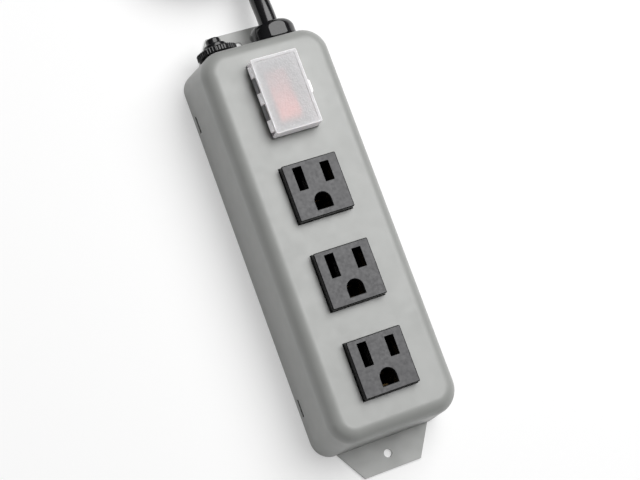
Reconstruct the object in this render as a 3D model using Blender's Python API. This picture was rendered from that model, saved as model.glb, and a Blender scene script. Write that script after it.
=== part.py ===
"""A three-outlet power strip: drawn steel housing, back plate with mounting ears, guarded rocker switch,
reset breaker, strain relief and a folded mains cord.

+X is across the strip, +Y runs along it towards the cord, +Z points out of the face.
The back plate lies on z = 0, and the origin is under the middle of the strip.
"""

import math

import bmesh
import bpy
from mathutils import Matrix, Vector

MM = 0.001
GAP = 0.3 * MM  # clearance between pieces that touch

# Housing: one drawn shell, open at the back, its walls leaning in towards the face
HOUSING_WIDTH = 64.0 * MM
HOUSING_LENGTH = 186.0 * MM
HOUSING_HEIGHT = 34.6 * MM
SHELL_WALL = 1.2 * MM
WALL_LEAN = 1.5 * MM
FACE_EDGE_RADIUS = 6.8 * MM
BACK_CORNER_RADIUS = 9.0 * MM
FRONT_CORNER_RADIUS = 11.5 * MM

# Back plate and its mounting ears
PLATE_THICKNESS = 1.2 * MM
EAR_REACH = 14.0 * MM
EAR_ROOT_WIDTH = 45.0 * MM
EAR_END_WIDTH = 27.7 * MM
EAR_HOLE_DIAMETER = 3.8 * MM
EAR_HOLE_OUT = 6.8 * MM
LOCK_SLOT_FROM_END = 24.8 * MM
LOCK_SLOT_LENGTH = 8.0 * MM
LOCK_SLOT_HEIGHT = 1.8 * MM
LOCK_SLOT_Z = 4.0 * MM
LOCK_LUG_THICKNESS = 1.0 * MM

# Receptacles
RECEPTACLE_COUNT = 3
RECEPTACLE_PITCH = 40.5 * MM
ROW_FROM_END = 14.9 * MM
FACE_WIDTH = 25.8 * MM
FACE_PROUD = 4.4 * MM
FACE_CORNER_RADIUS = 0.7 * MM
BODY_SHOULDER = 2.6 * MM
BODY_REAR_Z = 14.0 * MM
COVER_THICKNESS = 2.2 * MM
BLADE_SPREAD = 12.7 * MM
BLADE_SLOT_WIDTH = 4.15 * MM
NEUTRAL_SLOT_LENGTH = 10.6 * MM
LINE_SLOT_LENGTH = 8.9 * MM
SLOT_UP = 5.55 * MM
GROUND_DOWN = 6.35 * MM
GROUND_WIDTH = 7.2 * MM
GROUND_HEIGHT = 7.0 * MM
POCKET_ROOF = 6.0 * MM
CONTACT_SHEET = 0.8 * MM
CONTACT_WIDTH = 8.0 * MM
CONTACT_TAIL_OUT = 3.5 * MM

# Strap behind the receptacles, held by two studs welded to the shell
STRAP_SHEET = 1.0 * MM
STRAP_WIDTH = 14.0 * MM
STRAP_FOOT = 7.0 * MM
STUD_DIAMETER = 3.0 * MM
NUT_ACROSS_FLATS = 5.5 * MM
NUT_HEIGHT = 2.6 * MM

# Rocker switch
SWITCH_FROM_END = 30.6 * MM
BEZEL_LENGTH = 31.0 * MM
BEZEL_WIDTH = 14.0 * MM
BEZEL_HEIGHT = 1.4 * MM
SWITCH_BODY_LENGTH = 27.1 * MM
SWITCH_BODY_WIDTH = 12.1 * MM
SWITCH_BODY_DEPTH = 19.7 * MM
SWITCH_WALL = 1.1 * MM
ROCKER_REACH = 11.5 * MM
ROCKER_HALF_ANGLE = math.radians(7.0)
ROCKER_CROWN = 2.5 * MM
ROCKER_PIVOT_UP = 0.8 * MM
TRUNNION_DIAMETER = 2.0 * MM
STEM_WIDTH = 4.8 * MM
STEM_BORE = 3.2 * MM
STEM_REACH = 9.0 * MM
PLUNGER_DIAMETER = 2.4 * MM
PLUNGER_REACH = 13.5 * MM
ARM_LENGTH = 17.0 * MM
ARM_WIDTH = 3.6 * MM
ARM_THICKNESS = 0.8 * MM
ARM_DROP = 14.5 * MM
ARM_HALF_ANGLE = math.radians(6.0)
TERMINAL_PITCH = 9.0 * MM
TERMINAL_LENGTH = 7.0 * MM

# Flip-up guard over the switch
GUARD_LENGTH = 35.0 * MM
GUARD_WIDTH = 22.0 * MM
GUARD_OFFSET_X = 0.4 * MM
GUARD_BASE_THICKNESS = 1.0 * MM
GUARD_TOP_UP = 8.3 * MM
GUARD_WALL = 1.0 * MM
GUARD_AXIS_UP = 4.4 * MM
GUARD_AXIS_IN = 0.4 * MM
KNUCKLE_RADIUS = 1.5 * MM
HINGE_PIN_DIAMETER = 1.2 * MM
LUG_LENGTH = 5.2 * MM
LUG_PITCH = 12.7 * MM
TAB_LENGTH = 6.3 * MM
TAB_REACH = 1.9 * MM

# Reset breaker on the cord-end wall
BREAKER_X = -15.2 * MM
END_FITTING_Z = 15.5 * MM
BREAKER_HOLE = 10.0 * MM
BUSHING_DIAMETER = 9.4 * MM
BUSHING_LIP_DIAMETER = 10.8 * MM
BREAKER_NUT_DIAMETER = 19.0 * MM
BREAKER_NUT_HEIGHT = 3.0 * MM
LIP_OUT = 5.8 * MM
BUTTON_DIAMETER = 7.0 * MM
BUTTON_OUT = 8.8 * MM
BREAKER_BODY_WIDTH = 13.5 * MM
BREAKER_BODY_LENGTH = 28.0 * MM
BREAKER_BODY_HEIGHT = 23.0 * MM

# Strain relief, cord and plug
GLAND_X = 12.8 * MM
GLAND_DIAMETER = 21.4 * MM
GLAND_OUT = 8.3 * MM
GLAND_BARREL = 15.2 * MM
GLAND_HOLE = 15.9 * MM
GLAND_IN = 9.0 * MM
GLAND_FLAT_UP = 10.0 * MM
GLAND_SEAM_ANGLE = math.radians(150.0)
CORD_DIAMETER = 9.0 * MM
CORD_POINT_SPACING = 1.3 * CORD_DIAMETER
HANK_X = 0.0 * MM
HANK_NEAR_Y = 167.0 * MM
HANK_STRAIGHT = 140.86 * MM
HANK_INNER_RADIUS = 27.0 * MM
HANK_LAYERS = 2
TIE_THICKNESS = 0.6 * MM
TIE_WIDTH = 12.0 * MM
PLUG_X = 0.0 * MM
PLUG_Y = 227.6 * MM
PLUG_NECK = 14.0 * MM
PLUG_BODY = 32.0 * MM
PLUG_WIDTH = 28.0 * MM
PLUG_HEIGHT = 26.0 * MM
BLADE_LENGTH = 17.0 * MM
BLADE_WIDTH = 6.35 * MM
BLADE_THICKNESS = 1.5 * MM
GROUND_PIN_DIAMETER = 4.8 * MM
GROUND_PIN_LENGTH = 20.5 * MM
GROUND_PIN_DROP = 11.9 * MM

# The cord's own points where it isn't folded up, in millimetres from the origin
LEAD_ROUTE = [
    (12.8, 101.7, 15.5),
    (12.8, 107.4, 15.4),
    (12.83, 113.4, 14.6),
    (13.27, 117.9, 13.6),
    (14.24, 122.4, 12.26),
]
TAIL_ROUTE = [
    (-35.6, 302.0, 23.8),
    (-34.2, 295.9, 23.8),
    (-30.2, 286.9, 23.8),
    (-23.0, 277.9, 23.8),
    (-12.0, 268.9, 22.8),
    (-5.2, 259.9, 20.7),
    (-1.5, 250.9, 18.0),
    (0.0, 241.9, 15.4),
    (0.0, 234.0, 13.3),
    (0.0, 228.6, 13.0),
]

LEAD_MEETS_HANK = (18.3, 132.2, 8.6)
TAIL_MEETS_HANK = (-33.5, 316.0, 14.5)

WIRE_DIAMETER = 2.6 * MM
WIRE_BESIDE_BODY = 7.5 * MM

# Levels and places worked out from the driving sizes
BODY_WIDTH = FACE_WIDTH + 2 * BODY_SHOULDER
WIRE_SIDE_X = BODY_WIDTH / 2 + WIRE_BESIDE_BODY
SHELL_END_Y = HOUSING_LENGTH / 2
INNER_FACE_Z = HOUSING_HEIGHT - SHELL_WALL
FACE_TOP_Z = HOUSING_HEIGHT + FACE_PROUD
SHOULDER_Z = INNER_FACE_Z - GAP
COVER_TOP_Z = BODY_REAR_Z - GAP
STRAP_TOP_Z = COVER_TOP_Z - COVER_THICKNESS - GAP
SWITCH_Y = SHELL_END_Y - SWITCH_FROM_END
GUARD_FLOOR_Z = HOUSING_HEIGHT + GAP
GUARD_FLOOR_TOP_Z = GUARD_FLOOR_Z + GUARD_BASE_THICKNESS
BEZEL_Z = GUARD_FLOOR_TOP_Z + GAP
PIVOT_Z = HOUSING_HEIGHT + ROCKER_PIVOT_UP
ARM_Z = PIVOT_Z - ARM_DROP
GUARD_TOP_Z = HOUSING_HEIGHT + GUARD_TOP_UP
GUARD_AXIS_Z = HOUSING_HEIGHT + GUARD_AXIS_UP
GUARD_LEFT_X = GUARD_OFFSET_X - GUARD_WIDTH / 2
GUARD_AXIS_X = GUARD_LEFT_X + GUARD_AXIS_IN
END_FACE_Y = SHELL_END_Y + GAP / 3  # where the end-wall fittings bear, clear of the leaning wall
HANK_OUTER_RADIUS = HANK_INNER_RADIUS + CORD_DIAMETER
HANK_FAR_Y = HANK_NEAR_Y + HANK_STRAIGHT
HANK_Z = TIE_THICKNESS + GAP

BLACK_PLASTIC = ((0.016, 0.016, 0.018), 0.42, 0.0)
BLACK_RUBBER = ((0.014, 0.014, 0.015), 0.38, 0.0)
GREY_ENAMEL = ((0.49, 0.495, 0.475), 0.42, 0.25)
BRASS = ((0.72, 0.50, 0.20), 0.30, 1.0)
ZINC_STEEL = ((0.62, 0.63, 0.64), 0.35, 1.0)
SPRING_STEEL = ((0.45, 0.45, 0.47), 0.30, 1.0)
NICKEL = ((0.70, 0.69, 0.66), 0.22, 1.0)
CLEAR_PLASTIC = ((0.82, 0.80, 0.81), 0.30, 0.0)
RED_PLASTIC = ((0.72, 0.04, 0.03), 0.25, 0.0)
GLASS = ((0.95, 0.55, 0.40), 0.05, 0.0)
WHITE_INSULATION = ((0.78, 0.78, 0.75), 0.45, 0.0)
GREEN_INSULATION = ((0.03, 0.30, 0.08), 0.45, 0.0)
BLACK_INSULATION = ((0.02, 0.02, 0.02), 0.45, 0.0)
PHENOLIC = ((0.10, 0.06, 0.04), 0.55, 0.0)


def clear_scene():
    for old in list(bpy.data.objects):
        bpy.data.objects.remove(old, do_unlink=True)


def material_of(name, finish):
    colour, roughness, metallic = finish
    material = bpy.data.materials.new(name)
    material.use_nodes = True
    shader = material.node_tree.nodes["Principled BSDF"]
    shader.inputs["Base Color"].default_value = (*colour, 1.0)
    shader.inputs["Roughness"].default_value = roughness
    shader.inputs["Metallic"].default_value = metallic
    material.diffuse_color = (*colour, 1.0)
    return material


def new_object(name, shape, finish=None, at=(0, 0, 0), smooth_angle=32.0):
    """An object from a bmesh. Without a finish it is a cutter or a piece to join, and stays out of the model."""
    bmesh.ops.recalc_face_normals(shape, faces=shape.faces)
    mesh = bpy.data.meshes.new(name)
    shape.to_mesh(mesh)
    shape.free()
    mesh.shade_smooth()
    mesh.set_sharp_from_angle(angle=math.radians(smooth_angle))
    made = bpy.data.objects.new(name, mesh)
    made.location = at
    bpy.context.scene.collection.objects.link(made)
    if finish is None:
        made.hide_render = True
        made.display_type = "WIRE"
    else:
        mesh.materials.append(material_of(name, finish))
    return made


def combine(target, tool_shape, operation):
    """Cuts a hidden tool from the target, or joins it on."""
    tool = new_object(f"{target.name}_{operation.lower()}_tool", tool_shape)
    change = target.modifiers.new(operation.capitalize(), "BOOLEAN")
    change.operation = operation
    change.solver = "EXACT"
    change.object = tool
    tool.parent = target.parent
    return tool


def loft(shape, loops, closed=False):
    """Skins loops that have equal numbers of points. The ends are capped, or joined to each other."""
    rings = [[shape.verts.new(point) for point in loop] for loop in loops]
    count = len(rings[0])
    pairs = list(zip(rings, rings[1:]))
    if closed:
        pairs.append((rings[-1], rings[0]))
    for low, high in pairs:
        for i in range(count):
            j = (i + 1) % count
            shape.faces.new((low[i], low[j], high[j], high[i]))
    if not closed:
        shape.faces.new(list(reversed(rings[0])))
        shape.faces.new(rings[-1])
    return shape


def add_box(shape, low, high):
    (x0, y0, z0), (x1, y1, z1) = low, high
    loops = [[(x0, y0, z), (x1, y0, z), (x1, y1, z), (x0, y1, z)] for z in (z0, z1)]
    return loft(shape, loops)


def boxes(*corners):
    shape = bmesh.new()
    for low, high in corners:
        add_box(shape, low, high)
    return shape


def mirrored_box(shape, x, y, z):
    """A box given by its ranges, each a (low, high) pair."""
    return add_box(shape, (x[0], y[0], z[0]), (x[1], y[1], z[1]))


def rounded_rectangle(width, length, radius, z, steps=6, centre=(0.0, 0.0)):
    points = []
    for corner, (sx, sy) in enumerate(((1, 1), (-1, 1), (-1, -1), (1, -1))):
        for step in range(steps + 1):
            angle = math.pi / 2 * (corner + step / steps)
            x = sx * (width / 2 - radius) + radius * math.cos(angle)
            y = sy * (length / 2 - radius) + radius * math.sin(angle)
            points.append((centre[0] + x, centre[1] + y, z))
    return points


def extruded(shape, outline, axis, low, high):
    """A flat outline pushed along an axis. The outline's two numbers are the other two axes, in order."""
    others = [i for i in range(3) if i != axis]
    loops = []
    for level in (low, high):
        loop = []
        for a, b in outline:
            point = [0.0, 0.0, 0.0]
            point[axis] = level
            point[others[0]] = a
            point[others[1]] = b
            loop.append(point)
        loops.append(loop)
    return loft(shape, loops)


def turned(shape, profile, centre, along, steps=24):
    """A profile of (radius, distance) points turned about an axis. It is closed, or starts and ends on the axis."""
    turn = Vector(along).to_track_quat("Z", "Y").to_matrix().to_4x4()
    place = Matrix.Translation(centre) @ turn
    rings = []
    for radius, distance in profile:
        if radius == 0:
            rings.append([shape.verts.new(place @ Vector((0, 0, distance)))])
            continue
        ring = []
        for step in range(steps):
            angle = 2 * math.pi * step / steps
            spot = Vector((radius * math.cos(angle), radius * math.sin(angle), distance))
            ring.append(shape.verts.new(place @ spot))
        rings.append(ring)
    pairs = list(zip(rings, rings[1:]))
    if len(rings[0]) > 1:
        pairs.append((rings[-1], rings[0]))
    for first, second in pairs:
        for i in range(steps):
            j = (i + 1) % steps
            corners = [first[i % len(first)], first[j % len(first)]]
            corners += [second[j % len(second)], second[i % len(second)]]
            shape.faces.new(list(dict.fromkeys(corners)))
    return shape


def sliced(shape, point, away):
    """Removes what lies past a plane and closes the cut."""
    geometry = shape.verts[:] + shape.edges[:] + shape.faces[:]
    bmesh.ops.bisect_plane(
        shape, geom=geometry, plane_co=point, plane_no=away, clear_outer=True
    )
    rim = [edge for edge in shape.edges if edge.is_boundary]
    bmesh.ops.holes_fill(shape, edges=rim, sides=0)
    return shape


def smooth_route(points, spacing):
    """Points a set distance apart on a smooth curve (Catmull-Rom) through the given ones."""
    knots = [Vector(p) for p in points]
    knots = [2 * knots[0] - knots[1]] + knots + [2 * knots[-1] - knots[-2]]
    fine = []
    for a, b, c, d in zip(knots, knots[1:], knots[2:], knots[3:]):
        for step in range(20):
            t = step / 20
            bend = (2 * a - 5 * b + 4 * c - d) * t * t + (3 * b - a - 3 * c + d) * t**3
            fine.append((2 * b + (c - a) * t + bend) / 2)
    fine.append(knots[-2])
    lengths = [(q - p).length for p, q in zip(fine, fine[1:])]
    count = max(2, round(sum(lengths) / spacing))
    wanted = [sum(lengths) * i / count for i in range(1, count)]
    route, gone = [fine[0]], 0.0
    for p, q, length in zip(fine, fine[1:], lengths):
        while wanted and gone + length >= wanted[0]:
            route.append(p.lerp(q, (wanted.pop(0) - gone) / length))
        gone += length
    return route + [fine[-1]]


def tube(name, points, diameter, finish, resolution=2):
    """A round bar along points, as a curve with a bevel and filled ends."""
    curve = bpy.data.curves.new(name, "CURVE")
    curve.dimensions = "3D"
    curve.bevel_depth = diameter / 2
    curve.bevel_resolution = resolution
    curve.use_fill_caps = True
    spline = curve.splines.new("POLY")
    spline.points.add(len(points) - 1)
    for spot, point in zip(spline.points, points):
        spot.co = (*point, 1.0)
    curve.materials.append(material_of(name, finish))
    made = bpy.data.objects.new(name, curve)
    bpy.context.scene.collection.objects.link(made)
    return made


def helix(centre, along, radius, turns, length, per_turn=10):
    turn = Vector(along).to_track_quat("Z", "Y").to_matrix().to_4x4()
    place = Matrix.Translation(centre) @ turn
    points = []
    count = round(turns * per_turn)
    for i in range(count + 1):
        angle = 2 * math.pi * i / per_turn
        rise = length * i / count
        points.append(place @ Vector((radius * math.cos(angle), radius * math.sin(angle), rise)))
    return points


def pivot(name, at, angle=0.0):
    """An empty on a joint's axis, which the moving pieces are parented to."""
    empty = bpy.data.objects.new(name, None)
    empty.location = at
    empty.rotation_euler = (angle, 0, 0)
    bpy.context.scene.collection.objects.link(empty)
    return empty


def in_millimetres(points):
    return [MM * Vector(point) for point in points]


# --- housing -----------------------------------------------------------------------------------------


def receptacle_centres():
    lowest = -SHELL_END_Y + ROW_FROM_END + BODY_WIDTH / 2
    return [lowest + RECEPTACLE_PITCH * i for i in reversed(range(RECEPTACLE_COUNT))]


def strap_stations():
    """(leg y, stud y) at each end of the strap."""
    centres = receptacle_centres()
    leg = BODY_WIDTH / 2 + GAP
    upper = centres[0] + leg
    lower = centres[-1] - leg
    reach = STRAP_SHEET + 2 * GAP + NUT_ACROSS_FLATS / 2
    return [(upper, upper + reach), (lower, lower - reach)]


def shell_loops(wall):
    """Loops of the shell's outside (wall 0) or inside, from the open back to the face."""
    straight = HOUSING_HEIGHT - FACE_EDGE_RADIUS
    radius = FACE_EDGE_RADIUS - wall
    rows = [(wall, 0.0, BACK_CORNER_RADIUS - wall)]
    for step in range(7):
        angle = math.pi / 2 * step / 6
        inset = WALL_LEAN + wall + radius * (1 - math.cos(angle))
        corner = FRONT_CORNER_RADIUS - (inset - WALL_LEAN)
        rows.append((inset, straight + radius * math.sin(angle), corner))
    return [
        rounded_rectangle(HOUSING_WIDTH - 2 * inset, HOUSING_LENGTH - 2 * inset, corner, z)
        for inset, z, corner in rows
    ]


def housing_shell():
    shape = bmesh.new()
    outside = [[shape.verts.new(p) for p in loop] for loop in shell_loops(0.0)]
    inside = [[shape.verts.new(p) for p in loop] for loop in shell_loops(SHELL_WALL)]
    rings = list(reversed(outside)) + inside
    count = len(rings[0])
    for first, second in zip(rings, rings[1:]):
        for i in range(count):
            j = (i + 1) % count
            shape.faces.new((first[i], first[j], second[j], second[i]))
    shape.faces.new(rings[0])
    shape.faces.new(list(reversed(rings[-1])))
    shell = new_object("housing_shell", shape, GREY_ENAMEL, smooth_angle=25)

    studs = bmesh.new()
    for _, stud_y in strap_stations():
        bar = STUD_DIAMETER / 2
        depth = STRAP_SHEET + NUT_HEIGHT + 6 * GAP
        root = INNER_FACE_Z + SHELL_WALL / 2
        profile = [(0, 0), (bar, 0), (bar, depth + SHELL_WALL / 2), (0, depth + SHELL_WALL / 2)]
        turned(studs, profile, (0, stud_y, root), (0, 0, -1), steps=12)
    combine(shell, studs, "UNION")

    openings = bmesh.new()
    window = FACE_WIDTH / 2 + GAP
    through = (INNER_FACE_Z - FACE_EDGE_RADIUS, HOUSING_HEIGHT + MM)
    for y in receptacle_centres():
        mirrored_box(openings, (-window, window), (y - window, y + window), through)
    half_x = SWITCH_BODY_WIDTH / 2 + GAP
    half_y = SWITCH_BODY_LENGTH / 2 + GAP
    mirrored_box(openings, (-half_x, half_x), (SWITCH_Y - half_y, SWITCH_Y + half_y), through)
    for x, bore in ((BREAKER_X, BREAKER_HOLE), (GLAND_X, GLAND_HOLE)):
        depth = WALL_LEAN + 2 * SHELL_WALL
        profile = [(0, 0), (bore / 2, 0), (bore / 2, 2 * depth), (0, 2 * depth)]
        turned(openings, profile, (x, SHELL_END_Y - depth, END_FITTING_Z), (0, 1, 0), steps=32)
    for side in (-1, 1):
        for end in (-1, 1):
            y = end * (SHELL_END_Y - LOCK_SLOT_FROM_END)
            x = sorted((side * (HOUSING_WIDTH / 2 - 2 * SHELL_WALL), side * HOUSING_WIDTH))
            ys = (y - LOCK_SLOT_LENGTH / 2, y + LOCK_SLOT_LENGTH / 2)
            zs = (LOCK_SLOT_Z - LOCK_SLOT_HEIGHT / 2, LOCK_SLOT_Z + LOCK_SLOT_HEIGHT / 2)
            mirrored_box(openings, x, ys, zs)
    half = ear_half_width(SHELL_END_Y - SHELL_WALL) + GAP
    for end in (-1, 1):
        ys = sorted((end * (SHELL_END_Y - 2 * SHELL_WALL), end * (SHELL_END_Y + SHELL_WALL)))
        mirrored_box(openings, (-half, half), ys, (-MM, PLATE_THICKNESS + GAP))
    combine(shell, openings, "DIFFERENCE")


def ear_half_width(y):
    slope = (EAR_ROOT_WIDTH - EAR_END_WIDTH) / 2 / EAR_REACH
    return EAR_END_WIDTH / 2 + slope * (SHELL_END_Y + EAR_REACH - y)


def back_plate():
    inset = SHELL_WALL + GAP
    shape = bmesh.new()
    size = (HOUSING_WIDTH - 2 * inset, HOUSING_LENGTH - 2 * inset, BACK_CORNER_RADIUS - inset)
    loft(shape, [rounded_rectangle(*size, z) for z in (0.0, PLATE_THICKNESS)])
    plate = new_object("back_plate", shape, GREY_ENAMEL)

    added = bmesh.new()
    tip = SHELL_END_Y + EAR_REACH
    root = SHELL_END_Y - BACK_CORNER_RADIUS
    for end in (-1, 1):
        outline = []
        for y, side in ((root, -1), (root, 1), (tip, 1), (tip, -1)):
            outline.append((side * ear_half_width(y), end * y))
        extruded(added, outline, 2, 0.0, PLATE_THICKNESS)
    combine(plate, added, "UNION")

    lugs = bmesh.new()
    outer = HOUSING_WIDTH / 2 - inset
    lean = WALL_LEAN / (HOUSING_HEIGHT - FACE_EDGE_RADIUS)
    lug_top = LOCK_SLOT_Z + LOCK_SLOT_HEIGHT
    face = outer - lean * lug_top
    catch = face + SHELL_WALL
    tongue = LOCK_SLOT_HEIGHT / 2 - GAP
    for side in (-1, 1):
        for end in (-1, 1):
            y = end * (SHELL_END_Y - LOCK_SLOT_FROM_END)
            half = LOCK_SLOT_LENGTH / 2 - GAP
            profile = [
                (face - LOCK_LUG_THICKNESS, PLATE_THICKNESS / 2),
                (face, PLATE_THICKNESS / 2),
                (face, LOCK_SLOT_Z - tongue),
                (catch, LOCK_SLOT_Z - tongue / 2),
                (catch, LOCK_SLOT_Z + tongue / 2),
                (face, LOCK_SLOT_Z + tongue),
                (face, lug_top),
                (face - LOCK_LUG_THICKNESS, lug_top),
            ]
            extruded(lugs, [(side * x, z) for x, z in profile], 1, y - half, y + half)
    bmesh.ops.recalc_face_normals(lugs, faces=lugs.faces)
    combine(plate, lugs, "UNION").name = "back_plate_lugs_tool"

    holes = bmesh.new()
    bores = [(0.0, end * (SHELL_END_Y + EAR_HOLE_OUT), EAR_HOLE_DIAMETER) for end in (-1, 1)]
    bores.append((*ground_point(), GROUND_SCREW_HOLE))
    for x, y, bore in bores:
        profile = [(0, 0), (bore / 2, 0), (bore / 2, 3 * PLATE_THICKNESS), (0, 3 * PLATE_THICKNESS)]
        turned(holes, profile, (x, y, -PLATE_THICKNESS), (0, 0, 1), steps=24)
    combine(plate, holes, "DIFFERENCE")


# --- receptacles -------------------------------------------------------------------------------------


def ground_outline(centre_y, grow=0.0):
    """The grounding hole: round towards the blades, flat on the far side."""
    half = GROUND_WIDTH / 2 + grow
    top = centre_y + GROUND_HEIGHT / 2 + grow
    points = [(-half, centre_y - GROUND_HEIGHT / 2 - grow), (half, centre_y - GROUND_HEIGHT / 2 - grow)]
    for step in range(9):
        angle = math.pi * step / 8
        points.append((half * math.cos(angle), top - half + half * math.sin(angle)))
    return points


POCKET_X = (BLADE_SPREAD / 2 - 3.5 * MM, BLADE_SPREAD / 2 + 3.5 * MM)
POCKET_HALF_LENGTH = 6.5 * MM
GROUND_POCKET_X = 4.5 * MM
GROUND_POCKET_HALF = 4.5 * MM
NOTCH_HEIGHT = 2 * CONTACT_SHEET


def receptacle_body(number, y):
    shape = bmesh.new()
    low = SHOULDER_Z
    rows = [(BODY_WIDTH, 1.5 * MM, BODY_REAR_Z), (BODY_WIDTH, 1.5 * MM, low)]
    rows += [(FACE_WIDTH, FACE_CORNER_RADIUS, low), (FACE_WIDTH, FACE_CORNER_RADIUS, FACE_TOP_Z - GAP)]
    rows += [(FACE_WIDTH - 2 * GAP, FACE_CORNER_RADIUS - GAP, FACE_TOP_Z)]
    loft(shape, [rounded_rectangle(w, w, r, z, steps=3, centre=(0, y)) for w, r, z in rows])
    body = new_object(f"receptacle_body_{number}", shape, BLACK_PLASTIC)

    cuts = bmesh.new()
    roof = FACE_TOP_Z - POCKET_ROOF
    below = BODY_REAR_Z - MM
    slot_y = y + SLOT_UP
    for side in (-1, 1):
        xs = sorted(side * x for x in POCKET_X)
        ys = (slot_y - POCKET_HALF_LENGTH, slot_y + POCKET_HALF_LENGTH)
        mirrored_box(cuts, xs, ys, (below, roof))
    ground_y = y - GROUND_DOWN
    pocket = (ground_y - GROUND_POCKET_HALF, ground_y + GROUND_POCKET_HALF)
    mirrored_box(cuts, (-GROUND_POCKET_X, GROUND_POCKET_X), pocket, (below, roof))
    combine(body, cuts, "DIFFERENCE")

    slots = bmesh.new()
    for side, length in ((-1, NEUTRAL_SLOT_LENGTH), (1, LINE_SLOT_LENGTH)):
        x = side * BLADE_SPREAD / 2
        xs = (x - BLADE_SLOT_WIDTH / 2, x + BLADE_SLOT_WIDTH / 2)
        mirrored_box(slots, xs, (slot_y - length / 2, slot_y + length / 2), (roof - MM, FACE_TOP_Z + MM))
        notch = sorted(side * v for v in (POCKET_X[1] - MM, BODY_WIDTH / 2 + MM))
        half = CONTACT_WIDTH / 2 + GAP
        mirrored_box(slots, notch, (slot_y - half, slot_y + half), (below, BODY_REAR_Z + NOTCH_HEIGHT))
    extruded(slots, ground_outline(ground_y), 2, roof - MM, FACE_TOP_Z + MM)
    half = GROUND_TAIL_WIDTH / 2 + GAP
    ys = (y - BODY_WIDTH / 2 - MM, pocket[0] + MM)
    mirrored_box(slots, (-half, half), ys, (below, BODY_REAR_Z + NOTCH_HEIGHT))
    combine(body, slots, "DIFFERENCE").name = f"receptacle_body_{number}_slots_tool"


def receptacle_cover(number, y):
    shape = bmesh.new()
    levels = (COVER_TOP_Z - COVER_THICKNESS, COVER_TOP_Z)
    loops = [rounded_rectangle(BODY_WIDTH, BODY_WIDTH, 1.5 * MM, z, 3, (0, y)) for z in levels]
    new_object(f"receptacle_cover_{number}", loft(shape, loops), PHENOLIC)


GROUND_TAIL_WIDTH = 6.0 * MM
BLADE_GRIP = 1.3 * MM
PIN_GRIP = 4.4 * MM
CONTACT_TOP_DOWN = 7.0 * MM


def contact_profile(centre, grip, tail):
    """A gripper bent from one sheet: two leaves on a base, and a tail that runs out to one side."""
    base = BODY_REAR_Z + GAP
    top = FACE_TOP_Z - POCKET_ROOF - CONTACT_TOP_DOWN
    leaf = grip / 2 + CONTACT_SHEET
    side = 1 if tail > centre else -1
    profile = [
        (centre - side * leaf, base),
        (tail, base),
        (tail, base + CONTACT_SHEET),
        (centre + side * leaf, base + CONTACT_SHEET),
        (centre + side * leaf, top),
        (centre + side * grip / 2, top),
        (centre + side * grip / 2, base + CONTACT_SHEET),
        (centre - side * grip / 2, base + CONTACT_SHEET),
        (centre - side * grip / 2, top),
        (centre - side * leaf, top),
    ]
    return profile


def receptacle_contacts(number, y):
    slot_y = y + SLOT_UP
    half = CONTACT_WIDTH / 2
    for name, side, finish in (("neutral", -1, NICKEL), ("line", 1, BRASS)):
        tail = side * (BODY_WIDTH / 2 + CONTACT_TAIL_OUT)
        profile = contact_profile(side * BLADE_SPREAD / 2, BLADE_GRIP, tail)
        shape = extruded(bmesh.new(), profile, 1, slot_y - half, slot_y + half)
        new_object(f"{name}_contact_{number}", shape, finish)
    tail = y - BODY_WIDTH / 2
    profile = contact_profile(y - GROUND_DOWN, PIN_GRIP, tail)
    half = GROUND_TAIL_WIDTH / 2
    shape = extruded(bmesh.new(), profile, 0, -half, half)
    new_object(f"ground_contact_{number}", shape, BRASS)


def receptacle_strap():
    """A steel strip behind the covers, bent up at both ends to feet under the face."""
    (up_leg, up_stud), (low_leg, low_stud) = strap_stations()
    sheet = STRAP_SHEET
    floor = STRAP_TOP_Z - sheet
    foot = INNER_FACE_Z - GAP
    profile = [
        (low_leg - STRAP_FOOT, foot - sheet),
        (low_leg - sheet, foot - sheet),
        (low_leg - sheet, floor),
        (up_leg + sheet, floor),
        (up_leg + sheet, foot - sheet),
        (up_leg + STRAP_FOOT, foot - sheet),
        (up_leg + STRAP_FOOT, foot),
        (up_leg, foot),
        (up_leg, STRAP_TOP_Z),
        (low_leg, STRAP_TOP_Z),
        (low_leg, foot),
        (low_leg - STRAP_FOOT, foot),
    ]
    half = STRAP_WIDTH / 2
    shape = extruded(bmesh.new(), profile, 0, -half, half)
    strap = new_object("receptacle_strap", shape, ZINC_STEEL)
    holes = bmesh.new()
    nut_top = foot - sheet - GAP
    for number, stud_y in enumerate((up_stud, low_stud), 1):
        bore = STUD_DIAMETER / 2 + GAP
        profile = [(0, 0), (bore, 0), (bore, 4 * sheet), (0, 4 * sheet)]
        turned(holes, profile, (0, stud_y, foot + sheet), (0, 0, -1), steps=16)
        nut = hexagon_nut(stud_y, nut_top)
        new_object(f"strap_nut_{number}", nut, ZINC_STEEL)
    combine(strap, holes, "DIFFERENCE")


def hexagon_nut(y, top):
    shape = bmesh.new()
    outer = NUT_ACROSS_FLATS / math.sqrt(3)
    bore = STUD_DIAMETER / 2 + GAP
    loops = []
    for radius, z in ((outer, top), (outer, top - NUT_HEIGHT), (bore, top - NUT_HEIGHT), (bore, top)):
        loop = []
        for step in range(12):
            angle = math.pi / 6 * step
            reach = radius
            if radius == outer and step % 2:
                reach = outer * math.cos(math.pi / 6)
            loop.append((reach * math.cos(angle), y + reach * math.sin(angle), z))
        loops.append(loop)
    return loft(shape, loops, closed=True)


# --- switch ------------------------------------------------------------------------------------------


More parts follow.
